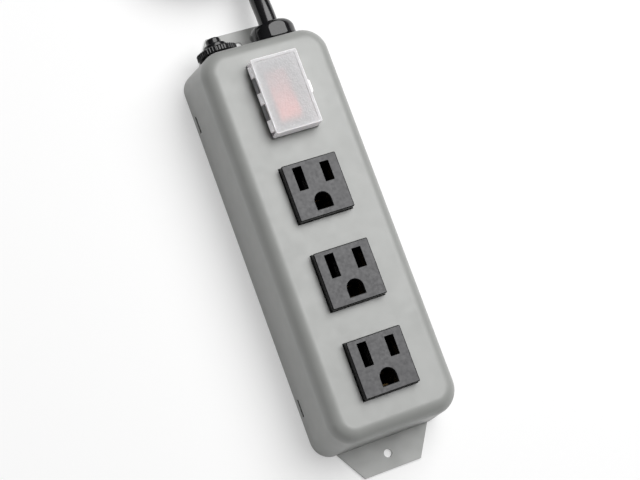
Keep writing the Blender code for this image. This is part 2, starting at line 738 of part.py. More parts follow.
def switch_frame():
    half_y = SWITCH_BODY_LENGTH / 2
    half_x = SWITCH_BODY_WIDTH / 2
    bottom = HOUSING_HEIGHT - SWITCH_BODY_DEPTH
    top = BEZEL_Z + BEZEL_HEIGHT
    shape = bmesh.new()
    centre = (0, SWITCH_Y)
    rows = [
        (SWITCH_BODY_WIDTH, SWITCH_BODY_LENGTH, 0.6 * MM, bottom),
        (SWITCH_BODY_WIDTH, SWITCH_BODY_LENGTH, 0.6 * MM, BEZEL_Z),
        (BEZEL_WIDTH, BEZEL_LENGTH, 1.2 * MM, BEZEL_Z),
        (BEZEL_WIDTH, BEZEL_LENGTH, 1.2 * MM, top - GAP),
        (BEZEL_WIDTH - 2 * GAP, BEZEL_LENGTH - 2 * GAP, 0.9 * MM, top),
    ]
    loft(shape, [rounded_rectangle(w, h, r, z, 3, centre) for w, h, r, z in rows])
    frame = new_object("switch_frame", shape, BLACK_PLASTIC)

    cuts = bmesh.new()
    inner_x = half_x - SWITCH_WALL
    inner_y = ROCKER_REACH + GAP
    ys = (SWITCH_Y - inner_y, SWITCH_Y + inner_y)
    mirrored_box(cuts, (-inner_x, inner_x), ys, (bottom + SWITCH_WALL, top + MM))
    combine(frame, cuts, "DIFFERENCE")
    small = bmesh.new()
    for step in (-1, 0, 1):
        y = SWITCH_Y + step * TERMINAL_PITCH
        width = TERMINAL_WIDTH / 2 + GAP
        sheet = CONTACT_SHEET / 2 + GAP
        mirrored_box(small, (-width, width), (y - sheet, y + sheet), (bottom - MM, bottom + 2 * SWITCH_WALL))
    bore = TRUNNION_DIAMETER / 2 + GAP
    reach = half_x + MM
    profile = [(0, 0), (bore, 0), (bore, 2 * reach), (0, 2 * reach)]
    turned(small, profile, (-reach, SWITCH_Y, PIVOT_Z), (1, 0, 0), steps=16)
    combine(frame, small, "DIFFERENCE").name = "switch_frame_small_tool"


TERMINAL_WIDTH = 6.3 * MM
ROCKER_WIDTH = SWITCH_BODY_WIDTH - 2 * SWITCH_WALL - 2 * GAP


def rocker():
    """The rocker is modelled level, about its own axis, and the empty tilts it to ON, cord end down."""
    axis = pivot("rocker_axis", (0, SWITCH_Y, PIVOT_Z), -ROCKER_HALF_ANGLE)
    rise = math.tan(ROCKER_HALF_ANGLE)
    corner = math.asin(ROCKER_CROWN / ROCKER_REACH) + ROCKER_HALF_ANGLE
    right = []
    for step in range(5):
        angle = -math.radians(13) + (corner + math.radians(13)) * step / 4
        right.append((ROCKER_REACH * math.cos(angle), ROCKER_REACH * math.sin(angle)))
    middle = (0.0, right[-1][1] - rise * right[-1][0])
    outline = right + [middle] + [(-y, z) for y, z in reversed(right)]
    half = ROCKER_WIDTH / 2
    shape = extruded(bmesh.new(), outline, 0, -half, half)
    body = new_object("switch_rocker", shape, RED_PLASTIC)
    body.parent = axis

    added = bmesh.new()
    stem = STEM_WIDTH / 2
    add_box(added, (-stem, -stem, -STEM_REACH), (stem, stem, -GAP))
    pin = TRUNNION_DIAMETER / 2
    reach = SWITCH_BODY_WIDTH / 2 - GAP
    profile = [(0, 0), (pin, 0), (pin, 2 * reach), (0, 2 * reach)]
    tool = combine(body, added, "UNION")
    tool.parent = axis
    pins = turned(bmesh.new(), profile, (-reach, 0, 0), (1, 0, 0), steps=12)
    tool = combine(body, pins, "UNION")
    tool.name = "switch_rocker_pins_tool"
    tool.parent = axis
    bore = STEM_BORE / 2
    depth = STEM_REACH - ROCKER_CROWN
    profile = [(0, 0), (bore, 0), (bore, depth + MM), (0, depth + MM)]
    tool = combine(body, turned(bmesh.new(), profile, (0, 0, -STEM_REACH - MM), (0, 0, 1), 16), "DIFFERENCE")
    tool.parent = axis

    tip = PLUNGER_DIAMETER / 2
    length = PLUNGER_REACH - STEM_REACH
    collar = STEM_BORE / 2 - GAP / 2
    profile = [(0, 0), (tip / 2, 0), (tip, tip / 2), (tip, length), (collar, length)]
    profile += [(collar, length + MM), (0, length + MM)]
    shape = turned(bmesh.new(), profile, (0, 0, -PLUNGER_REACH), (0, 0, 1), 12)
    plunger = new_object("rocker_plunger", shape, BRASS)
    plunger.parent = axis

    wire = 0.45 * MM
    coil = STEM_BORE / 2 - wire / 2 - GAP / 2
    start = -STEM_REACH + MM + GAP + wire / 2
    end = -ROCKER_CROWN - GAP - wire / 2
    points = helix((0, 0, start), (0, 0, 1), coil, 4, end - start, 8)
    spring = tube("plunger_spring", points, wire, SPRING_STEEL, resolution=0)
    spring.parent = axis


def contact_arm():
    """A see-saw strip that the plunger rocks. It rests with its far end down on the load contact."""
    axis = pivot("arm_axis", (0, SWITCH_Y, ARM_Z), ARM_HALF_ANGLE)
    half = ARM_LENGTH / 2
    low = -ARM_THICKNESS / 2
    shape = boxes(((-ARM_WIDTH / 2, -half, low), (ARM_WIDTH / 2, half, -low)))
    arm = new_object("contact_arm", shape, BRASS)
    arm.parent = axis


def switch_terminals():
    bottom = HOUSING_HEIGHT - SWITCH_BODY_DEPTH
    tip_fall = ARM_LENGTH / 2 * math.sin(ARM_HALF_ANGLE) + ARM_THICKNESS
    half = TERMINAL_WIDTH / 2
    sheet = CONTACT_SHEET / 2
    arm_low = ARM_Z - ARM_THICKNESS / 2 - GAP
    tops = {"load": arm_low - tip_fall, "feed": arm_low - GAP, "lamp": bottom + 2 * SWITCH_WALL}
    for step, (name, top) in zip((-1, 0, 1), tops.items()):
        y = SWITCH_Y + step * TERMINAL_PITCH
        low = bottom - TERMINAL_LENGTH
        outline = [(-half * 0.6, low), (half * 0.6, low), (half, low + 2 * MM), (half, bottom)]
        outline += [(half * 0.6, bottom), (half * 0.6, top), (-half * 0.6, top), (-half * 0.6, bottom)]
        outline += [(-half, bottom), (-half, low + 2 * MM)]
        shape = extruded(bmesh.new(), outline, 1, y - sheet, y + sheet)
        new_object(f"switch_terminal_{name}", shape, BRASS)


def neon_lamp():
    radius = 1.6 * MM
    length = 5.5 * MM
    profile = [(0, 0), (radius, 0), (radius, length - radius)]
    profile += [(radius * 0.7, length - 0.3 * radius), (0, length)]
    base = ARM_Z + 3.2 * MM
    shape = turned(bmesh.new(), profile, (0, SWITCH_Y - 6.2 * MM, base), (0, 0, 1), 12)
    new_object("neon_lamp", shape, GLASS)


# --- guard -------------------------------------------------------------------------------------------


def guard_outline():
    low_y = SWITCH_Y - GUARD_LENGTH / 2
    high_y = SWITCH_Y + GUARD_LENGTH / 2
    return GUARD_LEFT_X, GUARD_LEFT_X + GUARD_WIDTH, low_y, high_y


def barrel(shape, low_y, high_y):
    profile = [(0, 0), (KNUCKLE_RADIUS, 0), (KNUCKLE_RADIUS, high_y - low_y), (0, high_y - low_y)]
    return turned(shape, profile, (GUARD_AXIS_X, low_y, GUARD_AXIS_Z), (0, 1, 0), steps=14)


def lug_centres():
    return [SWITCH_Y + LUG_PITCH * step for step in (-1, 0, 1)]


def guard_base():
    left, right, low_y, high_y = guard_outline()
    floor = (GUARD_FLOOR_Z, GUARD_FLOOR_TOP_Z)
    shape = bmesh.new()
    mirrored_box(shape, (left, right), (low_y, high_y), floor)
    base = new_object("guard_base", shape, CLEAR_PLASTIC)

    posts = bmesh.new()
    for lower, upper in zip(lug_centres(), lug_centres()[1:]):
        span = (lower + LUG_LENGTH / 2 + 2 * GAP, upper - LUG_LENGTH / 2 - 2 * GAP)
        xs = (left + GAP / 2, GUARD_AXIS_X + KNUCKLE_RADIUS - GAP)
        mirrored_box(posts, xs, span, (GUARD_FLOOR_Z + GAP, GUARD_AXIS_Z - GAP))
    combine(base, posts, "UNION")
    barrels = bmesh.new()
    for lower, upper in zip(lug_centres(), lug_centres()[1:]):
        barrel(barrels, lower + LUG_LENGTH / 2 + GAP, upper - LUG_LENGTH / 2 - GAP)
    combine(base, barrels, "UNION").name = "guard_base_barrels_tool"
    holes = bmesh.new()
    half_x = SWITCH_BODY_WIDTH / 2 + GAP
    half_y = SWITCH_BODY_LENGTH / 2 + GAP
    zs = (GUARD_FLOOR_Z - MM, GUARD_FLOOR_TOP_Z + MM)
    mirrored_box(holes, (-half_x, half_x), (SWITCH_Y - half_y, SWITCH_Y + half_y), zs)
    pin_bore(holes, low_y, high_y)
    combine(base, holes, "DIFFERENCE")


def pin_bore(shape, low_y, high_y):
    bore = HINGE_PIN_DIAMETER / 2 + GAP
    reach = high_y - low_y + 2 * MM
    profile = [(0, 0), (bore, 0), (bore, reach), (0, reach)]
    return turned(shape, profile, (GUARD_AXIS_X, low_y - MM, GUARD_AXIS_Z), (0, 1, 0), steps=12)


def guard_cover():
    left, right, low_y, high_y = guard_outline()
    axis = Vector((GUARD_AXIS_X, SWITCH_Y, GUARD_AXIS_Z))
    low = GUARD_FLOOR_TOP_Z + GAP
    shape = bmesh.new()
    outer = [(left, low), (right, low), (right, GUARD_TOP_Z - GAP), (right - GAP, GUARD_TOP_Z)]
    outer += [(left + GAP, GUARD_TOP_Z), (left, GUARD_TOP_Z - GAP)]
    extruded(shape, outer, 1, low_y, high_y)
    cover = new_object("guard_cover", shape, CLEAR_PLASTIC)
    room = bmesh.new()
    wall = GUARD_WALL
    roof = GUARD_TOP_Z - wall
    mirrored_box(room, (left - MM, right - wall), (low_y + wall, high_y - wall), (low - MM, roof))
    combine(cover, room, "DIFFERENCE")
    webs = bmesh.new()
    for y in lug_centres():
        span = (y - LUG_LENGTH / 2, y + LUG_LENGTH / 2)
        xs = (left + GAP / 2, GUARD_AXIS_X + wall)
        mirrored_box(webs, xs, span, (GUARD_AXIS_Z, GUARD_TOP_Z - wall / 2))
    combine(cover, webs, "UNION").name = "guard_cover_webs_tool"
    barrels = bmesh.new()
    for y in lug_centres():
        barrel(barrels, y - LUG_LENGTH / 2, y + LUG_LENGTH / 2)
    tab_z = GUARD_AXIS_Z
    tab_y = (SWITCH_Y - TAB_LENGTH / 2, SWITCH_Y + TAB_LENGTH / 2)
    mirrored_box(barrels, (right - wall / 2, right + TAB_REACH), tab_y, (tab_z - wall / 2, tab_z + wall / 2))
    combine(cover, barrels, "UNION")
    combine(cover, pin_bore(bmesh.new(), low_y + 2 * MM, high_y - 2 * MM), "DIFFERENCE").name = "guard_bore_tool"
    move_origin(cover, axis)


def move_origin(target, point):
    """Puts an object's origin on its joint axis, with its shape where it was."""
    target.data.transform(Matrix.Translation(-Vector(point)))
    target.location = Vector(point)


def hinge_pin():
    radius = HINGE_PIN_DIAMETER / 2
    span = 2 * LUG_PITCH + LUG_LENGTH
    profile = [(0, 0), (radius, 0), (radius, span), (0, span)]
    start = (GUARD_AXIS_X, SWITCH_Y - span / 2, GUARD_AXIS_Z)
    shape = turned(bmesh.new(), profile, start, (0, 1, 0), steps=12)
    new_object("guard_hinge_pin", shape, NICKEL)


# --- breaker and strain relief -----------------------------------------------------------------------


BUTTON_STEM_DIAMETER = 3.0 * MM
SPRING_WIRE = 0.7 * MM
SPRING_LENGTH = 9.0 * MM
BUSHING_IN = 5.0 * MM


def end_fitting(name, profile, x, finish, steps=24):
    """A turned piece on the cord-end wall. Distances run outwards from where the fittings bear."""
    shape = turned(bmesh.new(), profile, (x, END_FACE_Y, END_FITTING_Z), (0, 1, 0), steps)
    return new_object(name, shape, finish)


def breaker():
    bore = BUTTON_DIAMETER / 2 + GAP
    barrel_radius = BUSHING_DIAMETER / 2
    lip = BUSHING_LIP_DIAMETER / 2
    nut_end = GAP + BREAKER_NUT_HEIGHT
    profile = [
        (bore, -BUSHING_IN),
        (barrel_radius, -BUSHING_IN),
        (barrel_radius, nut_end + GAP),
        (lip, nut_end + GAP),
        (lip, LIP_OUT - 0.6 * MM),
        (lip - 0.8 * MM, LIP_OUT),
        (bore, LIP_OUT),
    ]
    end_fitting("breaker_bushing", profile, BREAKER_X, BLACK_PLASTIC, 28)

    radius = BREAKER_NUT_DIAMETER / 2
    hole = barrel_radius + GAP
    profile = [
        (hole, GAP),
        (radius - 0.4 * MM, GAP),
        (radius, GAP + 0.4 * MM),
        (radius, nut_end - 0.5 * MM),
        (radius - 0.5 * MM, nut_end),
        (hole, nut_end),
    ]
    end_fitting("breaker_nut", profile, BREAKER_X, BLACK_PLASTIC, 36)

    button = BUTTON_DIAMETER / 2
    stem = BUTTON_STEM_DIAMETER / 2
    shoulder = -BUSHING_IN - GAP
    profile = [
        (0, shoulder - SPRING_LENGTH - 3 * MM),
        (stem, shoulder - SPRING_LENGTH - 3 * MM),
        (stem, shoulder),
        (button, shoulder),
        (button, BUTTON_OUT - 0.9 * MM),
        (button - 0.3 * MM, BUTTON_OUT - 0.3 * MM),
        (button - 1.0 * MM, BUTTON_OUT),
        (0, BUTTON_OUT),
    ]
    made = end_fitting("reset_button", profile, BREAKER_X, BLACK_PLASTIC, 20)
    move_origin(made, (BREAKER_X, END_FACE_Y, END_FITTING_Z))

    top_y = END_FACE_Y - BUSHING_IN - GAP
    low_y = top_y - BREAKER_BODY_LENGTH
    half_x = BREAKER_BODY_WIDTH / 2
    half_z = BREAKER_BODY_HEIGHT / 2
    low = (BREAKER_X - half_x, low_y, END_FITTING_Z - half_z)
    high = (BREAKER_X + half_x, top_y, END_FITTING_Z + half_z)
    body = new_object("breaker_body", boxes((low, high)), PHENOLIC)
    well = SPRING_LENGTH + 5 * MM
    profile = [(0, 0), (bore, 0), (bore, well + MM), (0, well + MM)]
    shape = turned(bmesh.new(), profile, (BREAKER_X, top_y - well, END_FITTING_Z), (0, 1, 0), 20)
    combine(body, shape, "DIFFERENCE")

    coil = (button + stem) / 2
    start = top_y - SPRING_LENGTH - SPRING_WIRE
    points = helix((BREAKER_X, start, END_FITTING_Z), (0, 1, 0), coil, 5, SPRING_LENGTH - GAP, 10)
    tube("reset_spring", points, SPRING_WIRE, SPRING_STEEL, resolution=0)

    for number, side in enumerate((-1, 1), 1):
        x = BREAKER_X + side * BREAKER_BODY_WIDTH / 4
        sheet = CONTACT_SHEET / 2
        half = TERMINAL_WIDTH / 2
        low = (x - sheet, low_y - GAP - TERMINAL_LENGTH, END_FITTING_Z - half)
        high = (x + sheet, low_y - GAP, END_FITTING_Z + half)
        new_object(f"breaker_terminal_{number}", boxes((low, high)), BRASS)


def strain_relief():
    """Two halves that clamp the cord, with a flat on top and a seam through the cord's axis."""
    head = GLAND_DIAMETER / 2
    barrel_radius = GLAND_BARREL / 2
    bore = CORD_DIAMETER / 2 + GAP
    profile = [
        (bore, -GLAND_IN),
        (barrel_radius - 0.8 * MM, -GLAND_IN),
        (barrel_radius, -GLAND_IN + 0.8 * MM),
        (barrel_radius, 0.0),
        (head, 0.0),
        (head, 0.5 * GLAND_OUT),
        (head - 0.5 * MM, 0.72 * GLAND_OUT),
        (head - 1.4 * MM, 0.88 * GLAND_OUT),
        (head - 2.8 * MM, GLAND_OUT),
        (bore, GLAND_OUT),
    ]
    centre = Vector((GLAND_X, END_FACE_Y, END_FITTING_Z))
    across = Vector((math.cos(GLAND_SEAM_ANGLE), 0, math.sin(GLAND_SEAM_ANGLE)))
    upward = Vector((across.z, 0, -across.x))
    for name, side in (("gland_upper_half", 1), ("gland_lower_half", -1)):
        shape = turned(bmesh.new(), profile, centre, (0, 1, 0), steps=32)
        sliced(shape, centre + upward * side * GAP / 2, -upward * side)
        if side == 1:
            sliced(shape, centre + Vector((0, 0, GLAND_FLAT_UP)), Vector((0, 0, 1)))
        new_object(name, shape, BLACK_PLASTIC)
    radius = CORD_DIAMETER / 2
    length = GLAND_OUT + GLAND_IN + 2 * MM
    profile = [(0, 0), (radius, 0), (radius, length), (0, length)]
    start = (GLAND_X, END_FACE_Y + GLAND_OUT - length, END_FITTING_Z)
    shape = turned(bmesh.new(), profile, start, (0, 1, 0), steps=16)
    new_object("cord_entry", shape, BLACK_RUBBER)


# --- cord and plug -----------------------------------------------------------------------------------


def racetrack(radius):
    """Points round a loop with two straight runs, and the outward direction at each."""
    points = []
    for centre_y, start in ((HANK_FAR_Y, 0.0), (HANK_NEAR_Y, math.pi)):
        for step in range(13):
            angle = start + math.pi * step / 12
            outward = Vector((math.cos(angle), math.sin(angle), 0))
            points.append((Vector((HANK_X, centre_y, 0)) + radius * outward, outward))
    return points


def cord_hank():
    """The folded cord's outer shape: a loop of two runs side by side and two high."""
    middle = (HANK_INNER_RADIUS + HANK_OUTER_RADIUS) / 2
    half = CORD_DIAMETER
    edge = CORD_DIAMETER * 0.3
    height = HANK_LAYERS * CORD_DIAMETER
    section = [(-half, edge), (-half + edge, 0), (half - edge, 0), (half, edge)]
    section += [(half, height - edge), (half - edge, height), (-half + edge, height), (-half, height - edge)]
    loops = []
    for point, outward in racetrack(middle):
        loops.append([point + outward * a + Vector((0, 0, HANK_Z + b)) for a, b in section])
    hank = new_object("power_cord_hank", loft(bmesh.new(), loops, closed=True), BLACK_RUBBER)
    for route, inside in ((LEAD_ROUTE, LEAD_MEETS_HANK), (TAIL_ROUTE[::-1], TAIL_MEETS_HANK)):
        before, end, inside = in_millimetres([route[-2], route[-1], inside])
        onward = (end - before).normalized()
        spots = [end + 2 * GAP * onward, end + CORD_DIAMETER * 0.6 * onward, inside]
        for start, stop in zip(spots, spots[1:]):
            radius = CORD_DIAMETER / 2
            reach = (stop - start).length + 2 * GAP
            profile = [(0, 0), (radius, 0), (radius, reach), (0, reach)]
            combine(hank, turned(bmesh.new(), profile, start, stop - start, steps=12), "UNION")

    wide = CORD_DIAMETER + GAP
    low = HANK_Z - GAP
    high = HANK_Z + height + GAP
    skin = TIE_THICKNESS
    x = HANK_X - middle
    y = (HANK_NEAR_Y + HANK_FAR_Y) / 2
    inner = [(x - wide, low), (x + wide, low), (x + wide, high), (x - wide, high)]
    out = wide + skin
    outer = [(x - out, low - skin), (x + out, low - skin), (x + out, high + skin), (x - out, high + skin)]
    loops = []
    for outline, station in ((outer, -1), (outer, 1), (inner, 1), (inner, -1)):
        loops.append([(a, y + station * TIE_WIDTH / 2, b) for a, b in outline])
    new_object("cord_tie", loft(bmesh.new(), loops, closed=True), BLACK_INSULATION)


def cord_runs():
    for name, route in (("power_cord_lead", LEAD_ROUTE), ("power_cord_tail", TAIL_ROUTE)):
        points = smooth_route(in_millimetres(route), CORD_POINT_SPACING)
        tube(name, points, CORD_DIAMETER, BLACK_RUBBER, resolution=2)


def plug_section(width, height, radius, y):
    flat = rounded_rectangle(width, height, radius, 0.0, steps=4)
    return [(PLUG_X + a, y, PLUG_HEIGHT / 2 + b) for a, b, _ in flat]


def plug():
    neck = CORD_DIAMETER + 2.4 * MM
    start = PLUG_Y
    rows = [
        (neck, neck, 0.49 * neck, start),
        (neck + 2 * MM, neck + 2 * MM, 0.49 * neck, start - PLUG_NECK),
        (PLUG_WIDTH * 0.78, PLUG_HEIGHT * 0.78, 6 * MM, start - PLUG_NECK - 5 * MM),
        (PLUG_WIDTH * 0.86, PLUG_HEIGHT * 0.86, 6 * MM, start - PLUG_NECK - 0.5 * PLUG_BODY),
        (PLUG_WIDTH, PLUG_HEIGHT, 6 * MM, start - PLUG_NECK - 0.8 * PLUG_BODY),
        (PLUG_WIDTH, PLUG_HEIGHT, 6 * MM, start - PLUG_NECK - PLUG_BODY),
    ]
    loft_rows = [plug_section(*row) for row in rows]
    new_object("plug_body", loft(bmesh.new(), loft_rows), BLACK_RUBBER)
    face = start - PLUG_NECK - PLUG_BODY - GAP
    centre_z = PLUG_HEIGHT / 2
    blade_z = centre_z + GROUND_PIN_DROP / 2 - MM
    for name, side in (("plug_blade_line", -1), ("plug_blade_neutral", 1)):
        x = PLUG_X + side * BLADE_SPREAD / 2
        half = BLADE_THICKNESS / 2
        tall = BLADE_WIDTH / 2
        tip = face - BLADE_LENGTH
        outline = [(face, -tall), (tip + MM, -tall), (tip, MM - tall), (tip, tall - MM)]
        outline += [(tip + MM, tall), (face, tall)]
        outline = [(y, blade_z + z) for y, z in outline]
        shape = extruded(bmesh.new(), outline, 0, x - half, x + half)
        new_object(name, shape, NICKEL)
    radius = GROUND_PIN_DIAMETER / 2
    length = GROUND_PIN_LENGTH
    profile = [(0, 0), (radius, 0), (radius, length - radius), (radius * 0.7, length - radius * 0.3), (0, length)]
    shape = turned(bmesh.new(), profile, (PLUG_X, face, blade_z - GROUND_PIN_DROP), (0, -1, 0), 14)
    new_object("plug_ground_pin", shape, NICKEL)


# --- wiring ------------------------------------------------------------------------------------------


GROUND_SCREW_HOLE = 4.2 * MM
GROUND_SCREW_DIAMETER = 3.6 * MM
GROUND_HEAD_DIAMETER = 7.0 * MM
GROUND_TERMINAL_SHEET = 0.8 * MM


def ground_point():
    return 22.0 * MM, 46.0 * MM


def ground_screw():
    x, y = ground_point()
    sheet = GROUND_TERMINAL_SHEET
    low = PLATE_THICKNESS + GAP
    bore = GROUND_SCREW_DIAMETER / 2 + GAP
    ring = bore + 2 * MM
    profile = [(bore, 0), (ring, 0), (ring, sheet), (bore, sheet)]
    shape = turned(bmesh.new(), profile, (x, y, low), (0, 0, 1), 20)
    eye = new_object("ground_terminal", shape, NICKEL)
    half = 2.0 * MM
    tail = boxes(((x - half, y + ring - 0.4 * MM, low), (x + half, y + ring + 5 * MM, low + sheet)))
    combine(eye, tail, "UNION")
    shank = GROUND_SCREW_DIAMETER / 2
    head = GROUND_HEAD_DIAMETER / 2
    seat = low + sheet + GAP
    profile = [(0, GAP), (shank, GAP), (shank, seat), (head, seat), (head, seat + MM)]
    profile += [(head * 0.7, seat + 2 * MM), (0, seat + 2.2 * MM)]
    shape = turned(bmesh.new(), profile, (x, y, 0), (0, 0, 1), 16)
    new_object("ground_screw", shape, ZINC_STEEL)


def wiring():
    """Insulated conductors, from the cord's inner end to the breaker, the switch and the contacts."""
    inner_y = END_FACE_Y - GLAND_IN - 3.5 * MM
    centres = receptacle_centres()
    last = centres[-1] + SLOT_UP - CONTACT_WIDTH / 2
    side = WIRE_SIDE_X
    tail_z = BODY_REAR_Z + 2 * MM
    breaker_y = END_FACE_Y - BUSHING_IN - 2 * GAP - BREAKER_BODY_LENGTH - TERMINAL_LENGTH
    left_tab = BREAKER_X - BREAKER_BODY_WIDTH / 4
    right_tab = BREAKER_X + BREAKER_BODY_WIDTH / 4
    low_z = HOUSING_HEIGHT - SWITCH_BODY_DEPTH - TERMINAL_LENGTH - WIRE_DIAMETER / 2 - 2 * GAP
    feed_y = SWITCH_Y
    load_y = SWITCH_Y - TERMINAL_PITCH
    ground_x, ground_y = ground_point()
    step = 2.9 * MM
    routes = {
        "wire_line_in": (
            BLACK_INSULATION,
            [
                (GLAND_X - step, inner_y, END_FITTING_Z),
                (GLAND_X - step, inner_y - 6 * MM, 9 * MM),
                (2 * MM, SWITCH_Y + 11.6 * MM, 4 * MM),
                (-4 * MM, SWITCH_Y - 4.4 * MM, 4 * MM),
                (right_tab - 2 * MM, SWITCH_Y - 14.4 * MM, 7 * MM),
                (right_tab, breaker_y - 3 * MM, END_FITTING_Z - 3 * MM),
                (right_tab, breaker_y - 1.5 * MM, END_FITTING_Z),
            ],
        ),
        "wire_breaker_switch": (
            BLACK_INSULATION,
            [
                (left_tab, breaker_y - 1.5 * MM, END_FITTING_Z),
                (left_tab, breaker_y - 4 * MM, END_FITTING_Z - 4 * MM),
                (left_tab + 4 * MM, SWITCH_Y - 20.4 * MM, 4.5 * MM),
                (-6 * MM, SWITCH_Y - 12.4 * MM, low_z + 2 * MM),
                (-1 * MM, feed_y - 3 * MM, low_z + 2.5 * MM),
                (0, feed_y, low_z),
            ],
        ),
        "wire_line_bus": (
            BLACK_INSULATION,
            [
                (0, load_y, low_z),
                (4 * MM, load_y - 4 * MM, low_z + 2 * MM),
                (14 * MM, SWITCH_Y - 18.4 * MM, 10 * MM),
                (side - 2 * MM, SWITCH_Y - 26.4 * MM, tail_z),
                (side, SWITCH_Y - 36.4 * MM, tail_z),
                (side, last, tail_z),
            ],
        ),
        "wire_neutral_bus": (
            WHITE_INSULATION,
            [
                (GLAND_X, inner_y, END_FITTING_Z + step),
                (GLAND_X - MM, inner_y - 3 * MM, 23 * MM),
                (2 * MM, SWITCH_Y + 16.1 * MM, INNER_FACE_Z - 3.4 * MM),
                (-9 * MM, SWITCH_Y + 15.1 * MM, INNER_FACE_Z - 3.1 * MM),
                (-19 * MM, SWITCH_Y + 5.6 * MM, INNER_FACE_Z - 2.9 * MM),
                (-side, SWITCH_Y - 6.4 * MM, INNER_FACE_Z - 4.9 * MM),
                (-side, SWITCH_Y - 20.4 * MM, tail_z + 5 * MM),
                (-side, SWITCH_Y - 32.4 * MM, tail_z),
                (-side, last, tail_z),
            ],
        ),
        "wire_ground": (
            GREEN_INSULATION,
            [
                (GLAND_X + step, inner_y, END_FITTING_Z),
                (GLAND_X + 6 * MM, inner_y - 9 * MM, 12 * MM),
                (ground_x + MM, SWITCH_Y + 5.6 * MM, 6 * MM),
                (ground_x, ground_y + 13 * MM, PLATE_THICKNESS + WIRE_DIAMETER),
            ],
        ),
    }
    for name, (finish, route) in routes.items():
        tube(name, smooth_route(route, 3 * WIRE_DIAMETER), WIRE_DIAMETER, finish, resolution=1)


def main():
    clear_scene()
    housing_shell()
    back_plate()
    for number, y in enumerate(receptacle_centres(), 1):
        receptacle_body(number, y)
        receptacle_cover(number, y)
        receptacle_contacts(number, y)
    receptacle_strap()
    switch_frame()
    rocker()
    contact_arm()
    switch_terminals()
    neon_lamp()
    guard_base()
    guard_cover()
    hinge_pin()
    breaker()
    strain_relief()
    cord_runs()
    cord_hank()
    plug()
    ground_screw()
    wiring()


main()
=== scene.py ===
# %% [markdown]
# # A steel power strip with a guarded switch
#
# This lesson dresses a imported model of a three-outlet power strip: a grey enamelled steel case, black
# outlet faces, a lit rocker switch under a frosted flip-up guard, a push-to-reset breaker and a heavy cord.
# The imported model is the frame. It says where every piece sits, so each new piece below is laid over it in
# metres, and the pieces that are already right only get a finish.

import math

import bmesh
import bpy
from mathutils import Matrix, Quaternion, Vector


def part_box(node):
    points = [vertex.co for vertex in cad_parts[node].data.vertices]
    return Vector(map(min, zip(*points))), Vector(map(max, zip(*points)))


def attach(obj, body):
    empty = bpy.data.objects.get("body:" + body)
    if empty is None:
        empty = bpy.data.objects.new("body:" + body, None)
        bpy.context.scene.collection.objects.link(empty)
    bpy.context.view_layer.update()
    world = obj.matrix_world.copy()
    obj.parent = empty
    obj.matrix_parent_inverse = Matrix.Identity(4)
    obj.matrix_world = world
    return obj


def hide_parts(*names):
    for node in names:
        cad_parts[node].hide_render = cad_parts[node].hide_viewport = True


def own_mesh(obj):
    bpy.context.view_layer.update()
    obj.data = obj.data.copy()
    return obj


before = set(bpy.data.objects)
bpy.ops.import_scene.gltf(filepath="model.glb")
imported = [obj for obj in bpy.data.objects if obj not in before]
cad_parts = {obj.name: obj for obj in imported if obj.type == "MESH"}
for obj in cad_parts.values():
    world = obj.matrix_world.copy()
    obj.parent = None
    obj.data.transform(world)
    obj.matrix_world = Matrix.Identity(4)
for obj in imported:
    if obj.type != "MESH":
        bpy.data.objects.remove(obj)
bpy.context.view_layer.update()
MM = 0.001


def added(name, data):
    """A new object in the scene, holding this data."""
    made = bpy.data.objects.new(name, data)
    bpy.context.scene.collection.objects.link(made)
    return made


# %% [markdown]
# ## The camera
#
# The strip lies on its back. The viewer stands at its lower left, a good half metre up, with a long lens, so
# the case shows its face, its left wall and its near end, and its cord end runs off the top of the frame.
# A rotation is easiest to state as one turn about one axis, which is what a rotation vector holds.

# %% The camera
CAMERA_PLACE = Vector((-0.2017, -0.0915, 0.6317))
CAMERA_TURN = Vector((-0.192, 0.288, 0.328))
LENS_MM = 82.35

camera_data = bpy.data.cameras.new("camera")
camera_data.lens = LENS_MM
camera_data.sensor_width = 36.0
camera_data.clip_start = 0.01
camera = added("camera", camera_data)
turn = Quaternion(CAMERA_TURN.normalized(), CAMERA_TURN.length).inverted()
camera.matrix_world = Matrix.Translation(CAMERA_PLACE) @ turn.to_matrix().to_4x4()
bpy.context.scene.camera = camera
print("camera looks along", [round(v, 3) for v in turn @ Vector((0, 0, -1))])


# %% [markdown]
# ## Helpers for solid pieces
#
# Most pieces are one of three shapes: an outline pushed along an axis, a stack of outlines joined by skin, or
# a profile turned about an axis. Each helper fills a bmesh, and `solid` turns that into an object whose
# place is in its mesh. Holes are cut with an exact Boolean, applied at once, so that nothing is left live.

# %% Outlines and skins
def rounded_rectangle(width, length, radius, z, steps=8, centre=(0.0, 0.0)):
    """Points round a rectangle with round corners, anticlockwise from above."""
    points = []
    for quarter in range(4):
        sx = 1 if quarter in (0, 3) else -1
        sy = 1 if quarter in (0, 1) else -1
        for step in range(steps + 1):
            angle = math.pi / 2 * (quarter + step / steps)
            x = sx * (width / 2 - radius) + radius * math.cos(angle)
            y = sy * (length / 2 - radius) + radius * math.sin(angle)
            points.append((centre[0] + x, centre[1] + y, z))
    return points


def loft(shape, loops, closed=False):
    """Skin over loops of equal length, with both ends filled unless the stack closes on itself."""
    rings = [[shape.verts.new(p) for p in loop] for loop in loops]
    pairs = list(zip(rings, rings[1:]))
    if closed:
        pairs.append((rings[-1], rings[0]))
    for first, second in pairs:
        for i in range(len(first)):
            j = (i + 1) % len(first)
            shape.faces.new((first[i], first[j], second[j], second[i]))
    if not closed:
        shape.faces.new(list(reversed(rings[0])))
        shape.faces.new(rings[-1])
    return shape


